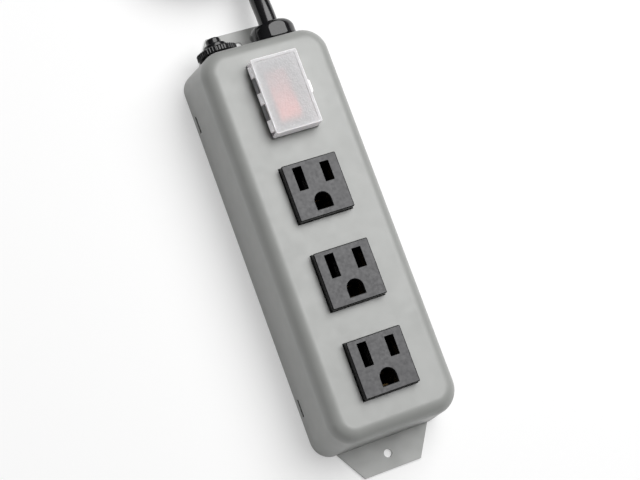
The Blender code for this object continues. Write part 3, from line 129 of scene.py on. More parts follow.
def extruded(shape, outline, axis, low, high):
    """A flat outline pushed along an axis. Its two numbers are the other two axes, in order."""
    others = [i for i in range(3) if i != axis]
    loops = []
    for level in (low, high):
        loop = []
        for a, b in outline:
            point = [0.0, 0.0, 0.0]
            point[axis] = level
            point[others[0]] = a
            point[others[1]] = b
            loop.append(point)
        loops.append(loop)
    return loft(shape, loops)


def turned(shape, profile, centre, along, steps=64):
    """A profile of (radius, distance) points turned about an axis through a centre."""
    place = Matrix.Translation(centre) @ Vector(along).to_track_quat("Z", "Y").to_matrix().to_4x4()
    rings = []
    for radius, distance in profile:
        if radius == 0:
            rings.append([shape.verts.new(place @ Vector((0, 0, distance)))])
            continue
        ring = []
        for step in range(steps):
            angle = 2 * math.pi * step / steps
            spot = Vector((radius * math.cos(angle), radius * math.sin(angle), distance))
            ring.append(shape.verts.new(place @ spot))
        rings.append(ring)
    pairs = list(zip(rings, rings[1:]))
    if len(rings[0]) > 1:
        pairs.append((rings[-1], rings[0]))
    for first, second in pairs:
        for i in range(steps):
            j = (i + 1) % steps
            corners = [first[i % len(first)], first[j % len(first)]]
            corners += [second[j % len(second)], second[i % len(second)]]
            kept = list(dict.fromkeys(corners))
            if len(kept) > 2:
                shape.faces.new(kept)
    return shape


def box(shape, x, y, z):
    """A plain block between pairs of limits, for cutting with."""
    return extruded(shape, [(x[0], y[0]), (x[1], y[0]), (x[1], y[1]), (x[0], y[1])], 2, z[0], z[1])


def rod(shape, start, along, length, radius, steps=24):
    """A plain round bar from a point, for cutting and joining."""
    return turned(shape, [(0, 0), (radius, 0), (radius, length), (0, length)], start, along, steps)


print("outline helpers ready")


# %% Solids, cuts and rounded edges
def solid(name, shape):
    """An object from a bmesh, with its faces turned outwards."""
    bmesh.ops.remove_doubles(shape, verts=shape.verts, dist=1e-7)
    bmesh.ops.recalc_face_normals(shape, faces=shape.faces)
    mesh = bpy.data.meshes.new(name)
    shape.to_mesh(mesh)
    shape.free()
    return added(name, mesh)


def settle(piece):
    """Turns a piece with its modifiers into a plain mesh."""
    graph = bpy.context.evaluated_depsgraph_get()
    settled = bpy.data.meshes.new_from_object(piece.evaluated_get(graph), depsgraph=graph)
    piece.modifiers.clear()
    old = piece.data
    piece.data = settled
    settled.name = piece.name
    bpy.data.meshes.remove(old)
    return piece


def carve(piece, tool_shape, operation="DIFFERENCE"):
    tool = solid(piece.name + "_tool", tool_shape)
    cut = piece.modifiers.new("carve", "BOOLEAN")
    cut.operation = operation
    cut.solver = "EXACT"
    cut.object = tool
    settle(piece)
    bpy.data.objects.remove(tool)
    return piece


def eased(piece, width, segments=2, from_angle=40.0):
    """Rounds the edges sharper than an angle, as paint, moulds and wear do."""
    ease = piece.modifiers.new("ease", "BEVEL")
    ease.width = width
    ease.segments = segments
    ease.limit_method = "ANGLE"
    ease.angle_limit = math.radians(from_angle)
    ease.miter_outer = "MITER_ARC"
    return settle(piece)


def shaded(piece, angle=40.0):
    """Smooth shading that keeps flats flat: sharp edges past an angle, and normals weighted by area."""
    for face in piece.data.polygons:
        face.use_smooth = True
    piece.data.set_sharp_from_angle(angle=math.radians(angle))
    weigh = piece.modifiers.new("weigh", "WEIGHTED_NORMAL")
    weigh.keep_sharp = True
    weigh.weight = 80
    return settle(piece)


def dress(piece, slot, *finishes, body="root", node=None):
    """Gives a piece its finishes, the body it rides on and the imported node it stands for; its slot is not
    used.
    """
    for finish in finishes:
        piece.data.materials.append(finish)
    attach(piece, body)
    if node:
        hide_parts(node)
    return piece


def count_of(piece):
    piece.data.calc_loop_triangles()
    return f"{piece.name}: {len(piece.data.loop_triangles)} triangles"


print("solid helpers ready")


# %% [markdown]
# ## The power cord
#
# The cord is a fixed 1.83 m of round 9 mm rubber, the usual six feet. It leaves the strain relief level,
# drops to the bench and is folded for storage: three and a half turns round a long loop, four strands in a
# square bundle. At each near bend the bundle rolls a quarter turn, which carries every strand one place on
# without crossing another. The tail climbs on the far bend, passes over the left run and comes down into the
# middle of the loop, where the plug lies. A curve object holds it, because its own line is the centreline.

# %% The cord's route
CORD_DIAMETER = 9.0 * MM
CORD_STEP = 3.0 * MM
LAPS = 4
GLAND_FACE = Vector((12.8, 101.4, 15.5)) * MM
BENCH_CLEARANCE = 0.9 * MM
BUNDLE_RADIUS = 31.5 * MM
NEAR_BEND_Y = 167.0 * MM
LOOP_STRAIGHT = 140.86 * MM
ROLL_LEAD_IN = 36.0 * MM
ROLL_END = 0.85
ROLL_LIFT = 2.0 * MM
ROLL_RUN = ROLL_LEAD_IN + ROLL_END * math.pi * BUNDLE_RADIUS
LEAD_SWING_Y = 112.0 * MM
LEAD_DROP_Y, LEAD_DROP_RUN = 105.0 * MM, 46.0 * MM
SETTLE_RUN = 45.0 * MM
LAST_CLIMB = 3.4 * MM
TAIL_CLIMB = 9.2 * MM
TAIL_SWING = 68.0 * MM
TAIL_DROP_AFTER, TAIL_DROP_RUN = 30.0 * MM, 52.0 * MM
PLUG_START_Y = 227.6 * MM
PLUG_Z = 13.0 * MM
FAR_BEND_Y = NEAR_BEND_Y + LOOP_STRAIGHT


def eased_step(t):
    t = max(0.0, min(1.0, t))
    return t * t * (3 - 2 * t)


def strand_place(angle, lift=0.0):
    """How far out and how high a strand lies when the bundle has rolled to an angle in degrees."""
    reach = CORD_DIAMETER / math.sqrt(2)
    a = math.radians(angle)
    return BUNDLE_RADIUS + reach * math.cos(a), BENCH_CLEARANCE + CORD_DIAMETER + reach * math.sin(a) + lift


def rolled(start, gone):
    """A strand's place when the bundle has gone some way into its quarter roll."""
    s = eased_step(gone / ROLL_RUN)
    return strand_place(start - 90 * s, ROLL_LIFT * math.sin(math.pi * s))


def s_bend(t, run, rise):
    """Two equal arcs that shift a line sideways by a rise over a run."""
    radius = (run * run + rise * rise) / (4 * rise)
    if t < run / 2:
        return radius - math.sqrt(radius * radius - t * t)
    return rise - radius + math.sqrt(radius * radius - (run - t) ** 2)


def lead_route():
    """From the strain relief down to the bench and sideways to the outside of the loop."""
    points = []
    swing = NEAR_BEND_Y - LEAD_SWING_Y
    outer, low = strand_place(-45)
    y = GLAND_FACE.y
    while y < NEAR_BEND_Y:
        t = y - LEAD_SWING_Y
        x = GLAND_FACE.x + (s_bend(t, swing, outer - GLAND_FACE.x) if t > 0 else 0.0)
        z = GLAND_FACE.z - (GLAND_FACE.z - low) * eased_step((y - LEAD_DROP_Y) / LEAD_DROP_RUN)
        points.append((x, y, z))
        y += CORD_STEP
    return points


def loop_route():
    """Round and round the loop, rolling one place on at each near bend."""
    points = []
    along = int(LOOP_STRAIGHT / CORD_STEP)
    for lap in range(LAPS):
        last = lap == LAPS - 1
        start = -45 - 90 * lap
        out, z = strand_place(start)
        for i in range(along):
            y = NEAR_BEND_Y + LOOP_STRAIGHT * i / along
            drop = LAST_CLIMB * (1 - eased_step((y - NEAR_BEND_Y) / SETTLE_RUN)) if last else 0.0
            points.append((out, y, z + drop))
        around = int(math.pi * out / CORD_STEP)
        for i in range(around):
            t = math.pi * i / around
            climb = TAIL_CLIMB * eased_step((i / around - 0.25) / 0.75) if last else 0.0
            points.append((out * math.cos(t), FAR_BEND_Y + out * math.sin(t), z + climb))
        if last:
            return points
        for i in range(along):
            y = FAR_BEND_Y - LOOP_STRAIGHT * i / along
            out, high = rolled(start, ROLL_LEAD_IN - (y - NEAR_BEND_Y))
            points.append((-out, y, high))
        around = int(math.pi * BUNDLE_RADIUS / CORD_STEP)
        for i in range(around):
            u = i / around
            out, high = rolled(start, ROLL_LEAD_IN + u * math.pi * BUNDLE_RADIUS)
            if lap == LAPS - 2:
                high += LAST_CLIMB * eased_step((u - 0.2) / 0.6)
            t = math.pi * (1 + u)
            points.append((out * math.cos(t), NEAR_BEND_Y + out * math.sin(t), high))


def tail_route(top):
    """From the far bend's left end, over the left run and down to the plug in the middle."""
    points = []
    side = -strand_place(-315)[0]
    y = FAR_BEND_Y
    while y > PLUG_START_Y:
        gone = FAR_BEND_Y - y
        x = side + s_bend(gone, TAIL_SWING, -side) if gone < TAIL_SWING else 0.0
        z = top - (top - PLUG_Z) * eased_step((gone - TAIL_DROP_AFTER) / TAIL_DROP_RUN)
        points.append((x, y, z))
        y -= CORD_STEP
    points.append((0.0, PLUG_START_Y, PLUG_Z))
    return points


route = lead_route() + loop_route()
route += tail_route(route[-1][2])
measured = sum((Vector(b) - Vector(a)).length for a, b in zip(route, route[1:]))
print(f"cord route: {len(route)} points, {measured:.4f} m long")


# %% The cord itself
def cord_curve(name, points, diameter):
    curve = bpy.data.curves.new(name, "CURVE")
    curve.dimensions = "3D"
    curve.bevel_depth = diameter / 2
    curve.bevel_resolution = 6
    curve.use_fill_caps = True
    spline = curve.splines.new("POLY")
    spline.points.add(len(points) - 1)
    for spot, point in zip(spline.points, points):
        spot.co = (*point, 1.0)
    spline.use_smooth = True
    return added(name, curve)


supply_cord = cord_curve("supply_cord", route, CORD_DIAMETER)
print("supply_cord:", len(route), "points,", CORD_DIAMETER / MM, "mm thick")


# %% [markdown]
# ## Light and floor
#
# Satin enamel shows its light as broad soft shapes, so the light is one large softbox above and to the right,
# placed where the face mirrors it, with a dim room low down for the rounded edges to mirror. That is what
# gives the dark band along the left edge. The floor is plain white board, and it carries only soft contact
# shadows.

# %% Light and floor
def put(node, **values):
    """Sets a node's input sockets by their names, with _ for each space."""
    for socket, value in values.items():
        node.inputs[socket.replace("_", " ")].default_value = value


def light_room():
    world = bpy.data.worlds.new("room")
    bpy.context.scene.world = world
    world.use_nodes = True
    nodes, links = world.node_tree.nodes, world.node_tree.links
    nodes.clear()
    out = nodes.new("ShaderNodeOutputWorld")
    dome = nodes.new("ShaderNodeBackground")
    ramp = nodes.new("ShaderNodeValToRGB")
    split = nodes.new("ShaderNodeSeparateXYZ")
    where = nodes.new("ShaderNodeTexCoord")
    low, high = ramp.color_ramp.elements
    low.position, low.color = 0.02, (0.020, 0.022, 0.021, 1)
    high.position, high.color = 0.85, (0.13, 0.13, 0.13, 1)
    links.new(where.outputs["Generated"], split.inputs["Vector"])
    links.new(split.outputs["Z"], ramp.inputs["Fac"])
    links.new(ramp.outputs["Color"], dome.inputs["Color"])
    links.new(dome.outputs["Background"], out.inputs["Surface"])


def softbox(name, place, target, size, power):
    data = bpy.data.lights.new(name, "AREA")
    data.shape = "RECTANGLE"
    data.size, data.size_y = size
    data.energy = power
    made = added(name, data)
    aim = (Vector(target) - Vector(place)).to_track_quat("-Z", "Y")
    made.matrix_world = Matrix.Translation(place) @ aim.to_matrix().to_4x4()
    return made


SOFTBOX_PLACE, SOFTBOX_SIZE, SOFTBOX_WATTS = (0.60, 0.42, 1.45), (1.5, 1.5), 33.5
light_room()
softbox("overhead", SOFTBOX_PLACE, (0, 0, 0), SOFTBOX_SIZE, SOFTBOX_WATTS)
view_settings = bpy.context.scene.view_settings
view_settings.view_transform = "Standard"
view_settings.look = "None"
view_settings.exposure = 0.0
view_settings.gamma = 1.0

floor = solid("floor", box(bmesh.new(), (-4, 4), (-4, 4), (-0.01, -0.0001)))
floor_finish = bpy.data.materials.new("white_board")
floor_finish.use_nodes = True
put(floor_finish.node_tree.nodes["Principled BSDF"], Base_Color=(0.62, 0.62, 0.62, 1), Roughness=0.9,
    Specular_IOR_Level=0.1, Emission_Color=(1, 1, 1, 1), Emission_Strength=0.38)
floor.data.materials.append(floor_finish)
print("room, a softbox and a floor")


# %% [markdown]
# ## Finishes
#
# Every finish starts the same way: one Principled shader whose plain sizes sit on its own sockets, a slow
# cloud of noise that shifts the colour a little, a finer one that shifts the roughness, and a finest one
# that lifts the surface through a bump. All of it reads Object coordinates, so it stays put when a joint
# moves. What makes each finish its own are the scales: paint has a soft orange peel, moulded plastic a fine
# spark-eroded grain, pressed metal long faint lines.

# %% A finish made from three clouds of noise
def noise_finish(name, colour, roughness, metallic=0.0, mottle=0.05, mottle_scale=150.0, rough_spread=0.06,
                 grain_scale=1400.0, grain_depth=0.00001, grain_strength=0.4, stretch=(1, 1, 1), **sockets):
    finish = bpy.data.materials.new(name)
    finish.use_nodes = True
    nodes, links = finish.node_tree.nodes, finish.node_tree.links
    shader = nodes["Principled BSDF"]
    put(shader, Metallic=metallic, **sockets)
    where = nodes.new("ShaderNodeTexCoord")
    place = nodes.new("ShaderNodeMapping")
    put(place, Scale=stretch)
    links.new(where.outputs["Object"], place.inputs["Vector"])

    def cloud(scale, detail, label):
        made = nodes.new("ShaderNodeTexNoise")
        made.label = label
        put(made, Scale=scale, Detail=detail)
        links.new(place.outputs["Vector"], made.inputs["Vector"])
        return made

    slow = cloud(mottle_scale, 3.0, "colour drift")
    ramp = nodes.new("ShaderNodeValToRGB")
    dark, light = ramp.color_ramp.elements
    dark.position, light.position = 0.32, 0.68
    dark.color = (*[c * (1 - mottle) for c in colour], 1)
    light.color = (*[min(1.0, c * (1 + mottle)) for c in colour], 1)
    links.new(slow.outputs["Fac"], ramp.inputs["Fac"])
    links.new(ramp.outputs["Color"], shader.inputs["Base Color"])

    middle = cloud(mottle_scale * 3.1, 2.0, "roughness drift")
    spread = nodes.new("ShaderNodeMapRange")
    put(spread, From_Min=0.3, From_Max=0.7, To_Min=max(0.02, roughness - rough_spread),
        To_Max=min(1.0, roughness + rough_spread))
    links.new(middle.outputs["Fac"], spread.inputs["Value"])
    links.new(spread.outputs["Result"], shader.inputs["Roughness"])

    fine = cloud(grain_scale, 2.0, "surface grain")
    bump = nodes.new("ShaderNodeBump")
    put(bump, Strength=grain_strength, Distance=grain_depth)
    links.new(fine.outputs["Fac"], bump.inputs["Height"])
    links.new(bump.outputs["Normal"], shader.inputs["Normal"])
    return finish


enamel = noise_finish(
    "grey_enamel", (0.318, 0.324, 0.313), 0.40, mottle=0.025, mottle_scale=60.0, rough_spread=0.04,
    grain_scale=900.0, grain_depth=0.00002, grain_strength=0.25, Specular_IOR_Level=0.75)
face_plastic = noise_finish(
    "face_plastic", (0.0275, 0.027, 0.0305), 0.44, mottle=0.12, mottle_scale=260.0, rough_spread=0.07,
    grain_scale=2400.0, grain_depth=0.00002, grain_strength=0.5, Specular_IOR_Level=0.6)
# The outlet sides share the face's black plastic but get a far darker base colour. That is partly a real
# smoother, glossier finish and partly painted shade on the side walls.
glossy_shaded_side_plastic = noise_finish(
    "glossy_shaded_side_plastic", (0.006, 0.006, 0.007), 0.30, mottle=0.15, mottle_scale=260.0, grain_scale=1800.0,
    Specular_IOR_Level=0.22)
fitting_plastic = noise_finish(
    "fitting_plastic", (0.008, 0.008, 0.009), 0.17, mottle=0.15, mottle_scale=220.0, rough_spread=0.05,
    grain_scale=1500.0)
cord_rubber = noise_finish(
    "cord_rubber", (0.007, 0.007, 0.008), 0.20, mottle=0.15, mottle_scale=90.0, grain_scale=700.0,
    grain_depth=0.00002, grain_strength=0.3, Coat_Weight=0.25)
tie_rubber = noise_finish(
    "tie_rubber", (0.02, 0.02, 0.021), 0.55, mottle=0.2, mottle_scale=400.0, grain_scale=1800.0,
    grain_depth=0.00003)
phenolic = noise_finish(
    "phenolic", (0.085, 0.045, 0.028), 0.5, mottle=0.3, mottle_scale=500.0, grain_scale=2200.0,
    grain_depth=0.00002)
black_case = noise_finish(
    "black_case", (0.015, 0.015, 0.017), 0.38, mottle=0.15, mottle_scale=300.0, grain_scale=2000.0,
    grain_depth=0.00002)
brass = noise_finish(
    "brass", (0.70, 0.47, 0.17), 0.30, 1.0, mottle=0.10, mottle_scale=300.0, grain_scale=900.0,
    stretch=(1, 6, 1))
nickel = noise_finish(
    "nickel_plate", (0.68, 0.66, 0.62), 0.22, 1.0, mottle=0.06, mottle_scale=260.0, grain_scale=1100.0,
    stretch=(1, 7, 1))
# Darker, rougher brass and nickel for the contacts deep in the outlet pockets. This is painted shade, so that
# the slots look dark.
shade_dark_brass = noise_finish(
    "shade_dark_brass", (0.16, 0.105, 0.045), 0.55, 1.0, mottle=0.25, mottle_scale=500.0, grain_scale=900.0)
shade_dark_nickel = noise_finish(
    "shade_dark_nickel", (0.15, 0.145, 0.14), 0.5, 1.0, mottle=0.2, mottle_scale=500.0, grain_scale=900.0)
zinc = noise_finish(
    "zinc_steel", (0.56, 0.57, 0.58), 0.38, 1.0, mottle=0.16, mottle_scale=420.0, grain_scale=1000.0)
spring_wire = noise_finish(
    "spring_steel", (0.42, 0.42, 0.44), 0.30, 1.0, mottle=0.08, mottle_scale=900.0, grain_scale=2600.0,
    grain_depth=0.000005)
wire_black = noise_finish("black_insulation", (0.014, 0.014, 0.015), 0.42, mottle=0.15, mottle_scale=260.0)
wire_white = noise_finish("white_insulation", (0.74, 0.73, 0.69), 0.42, mottle=0.04, mottle_scale=260.0)
wire_green = noise_finish("green_insulation", (0.02, 0.24, 0.06), 0.42, mottle=0.10, mottle_scale=260.0)
lamp_glass = noise_finish(
    "lamp_glass", (0.95, 0.50, 0.32), 0.08, mottle=0.03, mottle_scale=900.0,
    Emission_Color=(1.0, 0.28, 0.10, 1), Emission_Strength=2.0)
print(len(bpy.data.materials), "finishes so far")


# %% [markdown]
# ## The steel case
#
# The case is one deep-drawn shell: a soft rounded shoulder all round the face, tall corners, and an open
# back. It is a stack of rounded rectangles that step in along a quarter circle, once for the outside and once
# for the wall's inside. The windows, fitting holes, catch slots and ear notches are then cut out, and their
# edges eased a tenth of a millimetre, as paint rounds them. Fine steps on the shoulder matter here, because a
# satin shoulder shows every facet as a stripe.

# %% Sizes of the case
CASE_WIDTH, CASE_LENGTH, CASE_HEIGHT = 64.0 * MM, 185.86 * MM, 34.6 * MM
CASE_WALL = 1.2 * MM
WALL_LEAN = 1.5 * MM
SHOULDER = 6.8 * MM
BACK_CORNER, FRONT_CORNER = 9.0 * MM, 11.5 * MM
GAP = 0.3 * MM
FACE_SIZE = 25.8 * MM
SWITCH_OPENING = (12.1 * MM, 27.1 * MM)
FITTING_Z = 15.5 * MM
BREAKER_X, GLAND_X = -15.2 * MM, 12.8 * MM
FITTING_BORES = {BREAKER_X: 10.0 * MM, GLAND_X: 15.9 * MM}
CATCH_FROM_END, CATCH_HALF, CATCH_Z = 24.8 * MM, 4.0 * MM, (3.1 * MM, 4.9 * MM)
EAR_REACH, EAR_END_HALF, EAR_TAPER = 14.0 * MM, 13.85 * MM, 8.65 / 14
EDGE_EASE = 0.12 * MM
END_Y = CASE_LENGTH / 2


def middle_y(node):
    low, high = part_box(node)
    return (low[1] + high[1]) / 2


OUTLETS_Y = [middle_y(f"receptacle_body_{n}") for n in (1, 2, 3)]
SWITCH_Y = middle_y("switch_frame")
print("outlets at", [round(y / MM, 1) for y in OUTLETS_Y], "switch at", round(SWITCH_Y / MM, 1))


# %% The case
def case_loops(wall, steps=14):
    """Loops from the open back to the face, on the outside (wall 0) or inside of the sheet."""
    straight = CASE_HEIGHT - SHOULDER
    radius = SHOULDER - wall
    rows = [(wall, 0.0, BACK_CORNER - wall)]
    for t in (0.35, 0.7, 0.93):
        lean = WALL_LEAN * t
        corner = BACK_CORNER + (FRONT_CORNER - BACK_CORNER) * t
        rows.append((wall + lean, straight * t, corner - wall))
    for step in range(steps + 1):
        angle = math.pi / 2 * step / steps
        inset = WALL_LEAN + wall + radius * (1 - math.cos(angle))
        rows.append((inset, straight + radius * math.sin(angle), FRONT_CORNER - (inset - WALL_LEAN)))
    return [rounded_rectangle(CASE_WIDTH - 2 * i, CASE_LENGTH - 2 * i, c, z, 12) for i, z, c in rows]


def steel_case():
    shape = bmesh.new()
    loft(shape, list(reversed(case_loops(0.0))) + case_loops(CASE_WALL, 6))
    piece = solid("steel_case", shape)
    cuts = bmesh.new()
    half = FACE_SIZE / 2 + GAP
    through = (CASE_HEIGHT - 4 * MM, CASE_HEIGHT + MM)
    for y in OUTLETS_Y:
        box(cuts, (-half, half), (y - half, y + half), through)
    half_x, half_y = SWITCH_OPENING[0] / 2 + GAP, SWITCH_OPENING[1] / 2 + GAP
    box(cuts, (-half_x, half_x), (SWITCH_Y - half_y, SWITCH_Y + half_y), through)
    for x, bore in FITTING_BORES.items():
        rod(cuts, (x, END_Y - 4 * MM, FITTING_Z), (0, 1, 0), 8 * MM, bore / 2, 48)
    for side in (-1, 1):
        for end in (-1, 1):
            y = end * (END_Y - CATCH_FROM_END)
            x = sorted((side * (CASE_WIDTH / 2 - 3 * MM), side * (CASE_WIDTH / 2 + 3 * MM)))
            box(cuts, x, (y - CATCH_HALF, y + CATCH_HALF), CATCH_Z)
    for end in (-1, 1):
        edge = END_Y - CASE_WALL
        half = EAR_END_HALF + EAR_TAPER * (END_Y + EAR_REACH - edge) + GAP
        ys = sorted((end * (END_Y - 2.4 * MM), end * (END_Y + 1.2 * MM)))
        box(cuts, (-half, half), ys, (-MM, 1.5 * MM))
    carve(piece, cuts)
    eased(piece, EDGE_EASE, 2, 50)
    return shaded(piece)


case = dress(steel_case(), "grey_enamel", enamel, node="housing_shell")
print(count_of(case))


# %% [markdown]
# ## Carried-over solids with rounder edges
#
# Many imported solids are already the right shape, and only their edges are too crisp. A copy of the mesh is
# merged, its flat triangles are joined back into whole faces, and a small bevel rounds what is sharp. The
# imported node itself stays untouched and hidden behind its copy.

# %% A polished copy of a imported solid
def polished(node, name, finish, slot, body="root", width=0.2, segments=2, from_angle=35.0):
    """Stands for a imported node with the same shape, whole faces and eased edges."""
    shape = bmesh.new()
    shape.from_mesh(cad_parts[node].data)
    bmesh.ops.remove_doubles(shape, verts=shape.verts, dist=2e-6)
    bmesh.ops.dissolve_limit(shape, angle_limit=math.radians(1.0), verts=shape.verts, edges=shape.edges)
    piece = solid(name, shape)
    if width:
        eased(piece, width * MM, segments, from_angle)
    shaded(piece)
    piece.data.materials.clear()
    return dress(piece, slot, finish, body=body, node=node)


plate = polished("back_plate", "rear_plate", enamel, "grey_enamel", width=0.15)
print(count_of(plate))


# %% [markdown]
# ## Outlet faces
#
# Each outlet is a square black moulding that stands proud of the case through its own window. Two
# slots, the longer one for the neutral blade, and a grounding hole with a round top open into pockets
# where the contacts sit. The body is the same stack of outlines as before, and the slots are cut with their
# rims eased. The grounding hole's round edge is cut back by a faint flared chamfer.

# %% Outlet sizes
FACE_TOP = 39.0 * MM
BODY_SIZE = 31.0 * MM
BODY_REAR = 14.0 * MM
BODY_SHOULDER = CASE_HEIGHT - CASE_WALL - GAP
BODY_CORNER, FACE_CORNER, FACE_ROUND = 1.5 * MM, 0.7 * MM, 0.45 * MM
SLOT_X, SLOT_WIDTH = 6.35 * MM, 4.15 * MM
SLOT_LENGTHS = {-1: 10.6 * MM, 1: 8.9 * MM}
SLOT_UP, GROUND_DOWN = 5.55 * MM, 6.35 * MM
GROUND_SIZE = (7.2 * MM, 7.0 * MM)
GROUND_RIM = 0.4 * MM
POCKET_ROOF = 33.0 * MM
POCKET_HALF, GROUND_POCKET_HALF = (3.5 * MM, 6.5 * MM), 4.5 * MM


def ground_outline(y, grow=0.0, steps=20):
    """Flat toward the near end and round toward the blades."""
    half = GROUND_SIZE[0] / 2 + grow
    low = y - GROUND_SIZE[1] / 2 - grow
    top = y + GROUND_SIZE[1] / 2 + grow
    points = [(-half, low), (half, low)]
    for step in range(steps + 1):
        angle = math.pi * step / steps
        points.append((half * math.cos(angle), top - half + half * math.sin(angle)))
    return points


def outlet(number, y):
    shape = bmesh.new()
    rows = [(BODY_SIZE, BODY_CORNER, BODY_REAR), (BODY_SIZE, BODY_CORNER, BODY_SHOULDER)]
    rows += [(FACE_SIZE, FACE_CORNER, BODY_SHOULDER), (FACE_SIZE, FACE_CORNER, FACE_TOP - FACE_ROUND)]
    for step in (1, 2, 3):
        angle = math.pi / 2 * step / 3
        inset = FACE_ROUND * (1 - math.cos(angle))
        level = FACE_TOP - FACE_ROUND + FACE_ROUND * math.sin(angle)
        rows.append((FACE_SIZE - 2 * inset, FACE_CORNER - inset, level))
    loft(shape, [rounded_rectangle(s, s, r, z, 5, (0, y)) for s, r, z in rows])
    piece = solid(f"outlet_{number}", shape)
    pockets = bmesh.new()
    slot_y, ground_y = y + SLOT_UP, y - GROUND_DOWN
    deep = (BODY_REAR - MM, POCKET_ROOF)
    half_x, half_y = POCKET_HALF
    for side in (-1, 1):
        xs = sorted((side * (SLOT_X - half_x), side * (SLOT_X + half_x)))
        box(pockets, xs, (slot_y - half_y, slot_y + half_y), deep)
    half = GROUND_POCKET_HALF
    box(pockets, (-half, half), (ground_y - half, ground_y + half), deep)
    carve(piece, pockets)
    slots = bmesh.new()
    for side, length in SLOT_LENGTHS.items():
        x = side * SLOT_X
        xs = (x - SLOT_WIDTH / 2, x + SLOT_WIDTH / 2)
        box(slots, xs, (slot_y - length / 2, slot_y + length / 2), (POCKET_ROOF - MM, FACE_TOP + MM))
    extruded(slots, ground_outline(ground_y), 2, POCKET_ROOF - MM, FACE_TOP + MM)
    carve(piece, slots)
    rim = [(x, y, FACE_TOP - GROUND_RIM) for x, y in ground_outline(ground_y)]
    flare = [(x, y, FACE_TOP + GROUND_RIM) for x, y in ground_outline(ground_y, 2 * GROUND_RIM)]
    carve(piece, loft(bmesh.new(), [rim, flare]))
    eased(piece, EDGE_EASE, 2, 50)
    shaded(piece)
    dress(piece, "black_plastic", glossy_shaded_side_plastic, face_plastic, node=f"receptacle_body_{number}")
    # Upward top faces take the face finish. Every other face takes the darker side finish, whose darkness is
    # partly painted shade.
    for face in piece.data.polygons:
        face.material_index = int(face.center.z > FACE_TOP - GAP and face.normal.z > 0.97)
    return piece


outlets = [outlet(number, y) for number, y in enumerate(OUTLETS_Y, 1)]
print([count_of(piece) for piece in outlets])


# %% [markdown]
# ## The frosted guard
#
# A clear plastic lid keeps the switch from being knocked. It is a shallow box, open underneath and on its
# hinge side, with a raised frame round a panel that is moulded with a fine texture so it only half shows
# the lit rocker. Three lugs hook over the hinge pin, and a thumb tab sticks out opposite. The lid is built
# shut and rides on its own body, so it can swing.

# %% Guard sizes
GUARD_X, GUARD_Y = (-10.6 * MM, 11.4 * MM), (44.9 * MM, 79.9 * MM)
GUARD_LOW, GUARD_TOP = 36.2 * MM, 42.9 * MM
GUARD_WALL = 1.0 * MM
LID_CORNER, LID_ROUND = 0.9 * MM, 0.35 * MM
PANEL_BORDER, PANEL_SINK, PANEL_HALF = 1.5 * MM, 0.35 * MM, (9.6 * MM, 16.1 * MM)
HINGE_X, HINGE_Z, KNUCKLE = -10.2 * MM, 39.0 * MM, 1.5 * MM
LUG_LENGTH, LUG_PITCH = 5.2 * MM, 12.7 * MM
LUGS_Y = [SWITCH_Y + LUG_PITCH * step for step in (-1, 0, 1)]


def hinge_rod(shape, low_y, high_y, radius=KNUCKLE):
    return rod(shape, (HINGE_X, low_y, HINGE_Z), (0, 1, 0), high_y - low_y, radius, 32)


def guard_lid():
    centre = (sum(GUARD_X) / 2, sum(GUARD_Y) / 2)
    size = (GUARD_X[1] - GUARD_X[0], GUARD_Y[1] - GUARD_Y[0])
    rows = [(0.0, GUARD_LOW), (0.0, GUARD_TOP - LID_ROUND)]
    rows += [(0.1 * MM, GUARD_TOP - 0.1 * MM), (LID_ROUND, GUARD_TOP)]
    loops = [rounded_rectangle(size[0] - 2 * inset, size[1] - 2 * inset, LID_CORNER - inset, z, 6, centre)
             for inset, z in rows]
    piece = solid("guard_lid", loft(bmesh.new(), loops))
    room = bmesh.new()
    xs = (GUARD_X[0] - MM, GUARD_X[1] - GUARD_WALL)
    ys = (GUARD_Y[0] + GUARD_WALL, GUARD_Y[1] - GUARD_WALL)
    box(room, xs, ys, (GUARD_LOW - MM, GUARD_TOP - GUARD_WALL - PANEL_SINK))
    carve(piece, room)
    width, length = size[0] - 2 * PANEL_BORDER, size[1] - 2 * PANEL_BORDER
    levels = (GUARD_TOP - PANEL_SINK, GUARD_TOP + MM)
    sink = [rounded_rectangle(width, length, 0.6 * MM, z, 4, centre) for z in levels]
    carve(piece, loft(bmesh.new(), sink))
    webs = bmesh.new()
    for y in LUGS_Y:
        box(webs, (GUARD_X[0] + 0.1 * MM, HINGE_X + MM), (y - LUG_LENGTH / 2, y + LUG_LENGTH / 2),
            (HINGE_Z, GUARD_TOP - 0.6 * MM))
    carve(piece, webs, "UNION")
    barrels = bmesh.new()
    for y in LUGS_Y:
        hinge_rod(barrels, y - LUG_LENGTH / 2, y + LUG_LENGTH / 2)
    tab = [(GUARD_X[1] + out * MM, -half * MM) for out, half in ((-0.5, 3.15), (1.2, 3.15), (1.9, 2.4))]
    tab += [(x, -y) for x, y in reversed(tab)]
    extruded(barrels, [(x, SWITCH_Y + y) for x, y in tab], 2, HINGE_Z - 0.5 * MM, HINGE_Z + 0.5 * MM)
    carve(piece, barrels, "UNION")
    carve(piece, hinge_rod(bmesh.new(), GUARD_Y[0] + 2 * MM, GUARD_Y[1] - 2 * MM, 0.9 * MM))
    eased(piece, EDGE_EASE, 2, 50)
    return shaded(piece, 45)
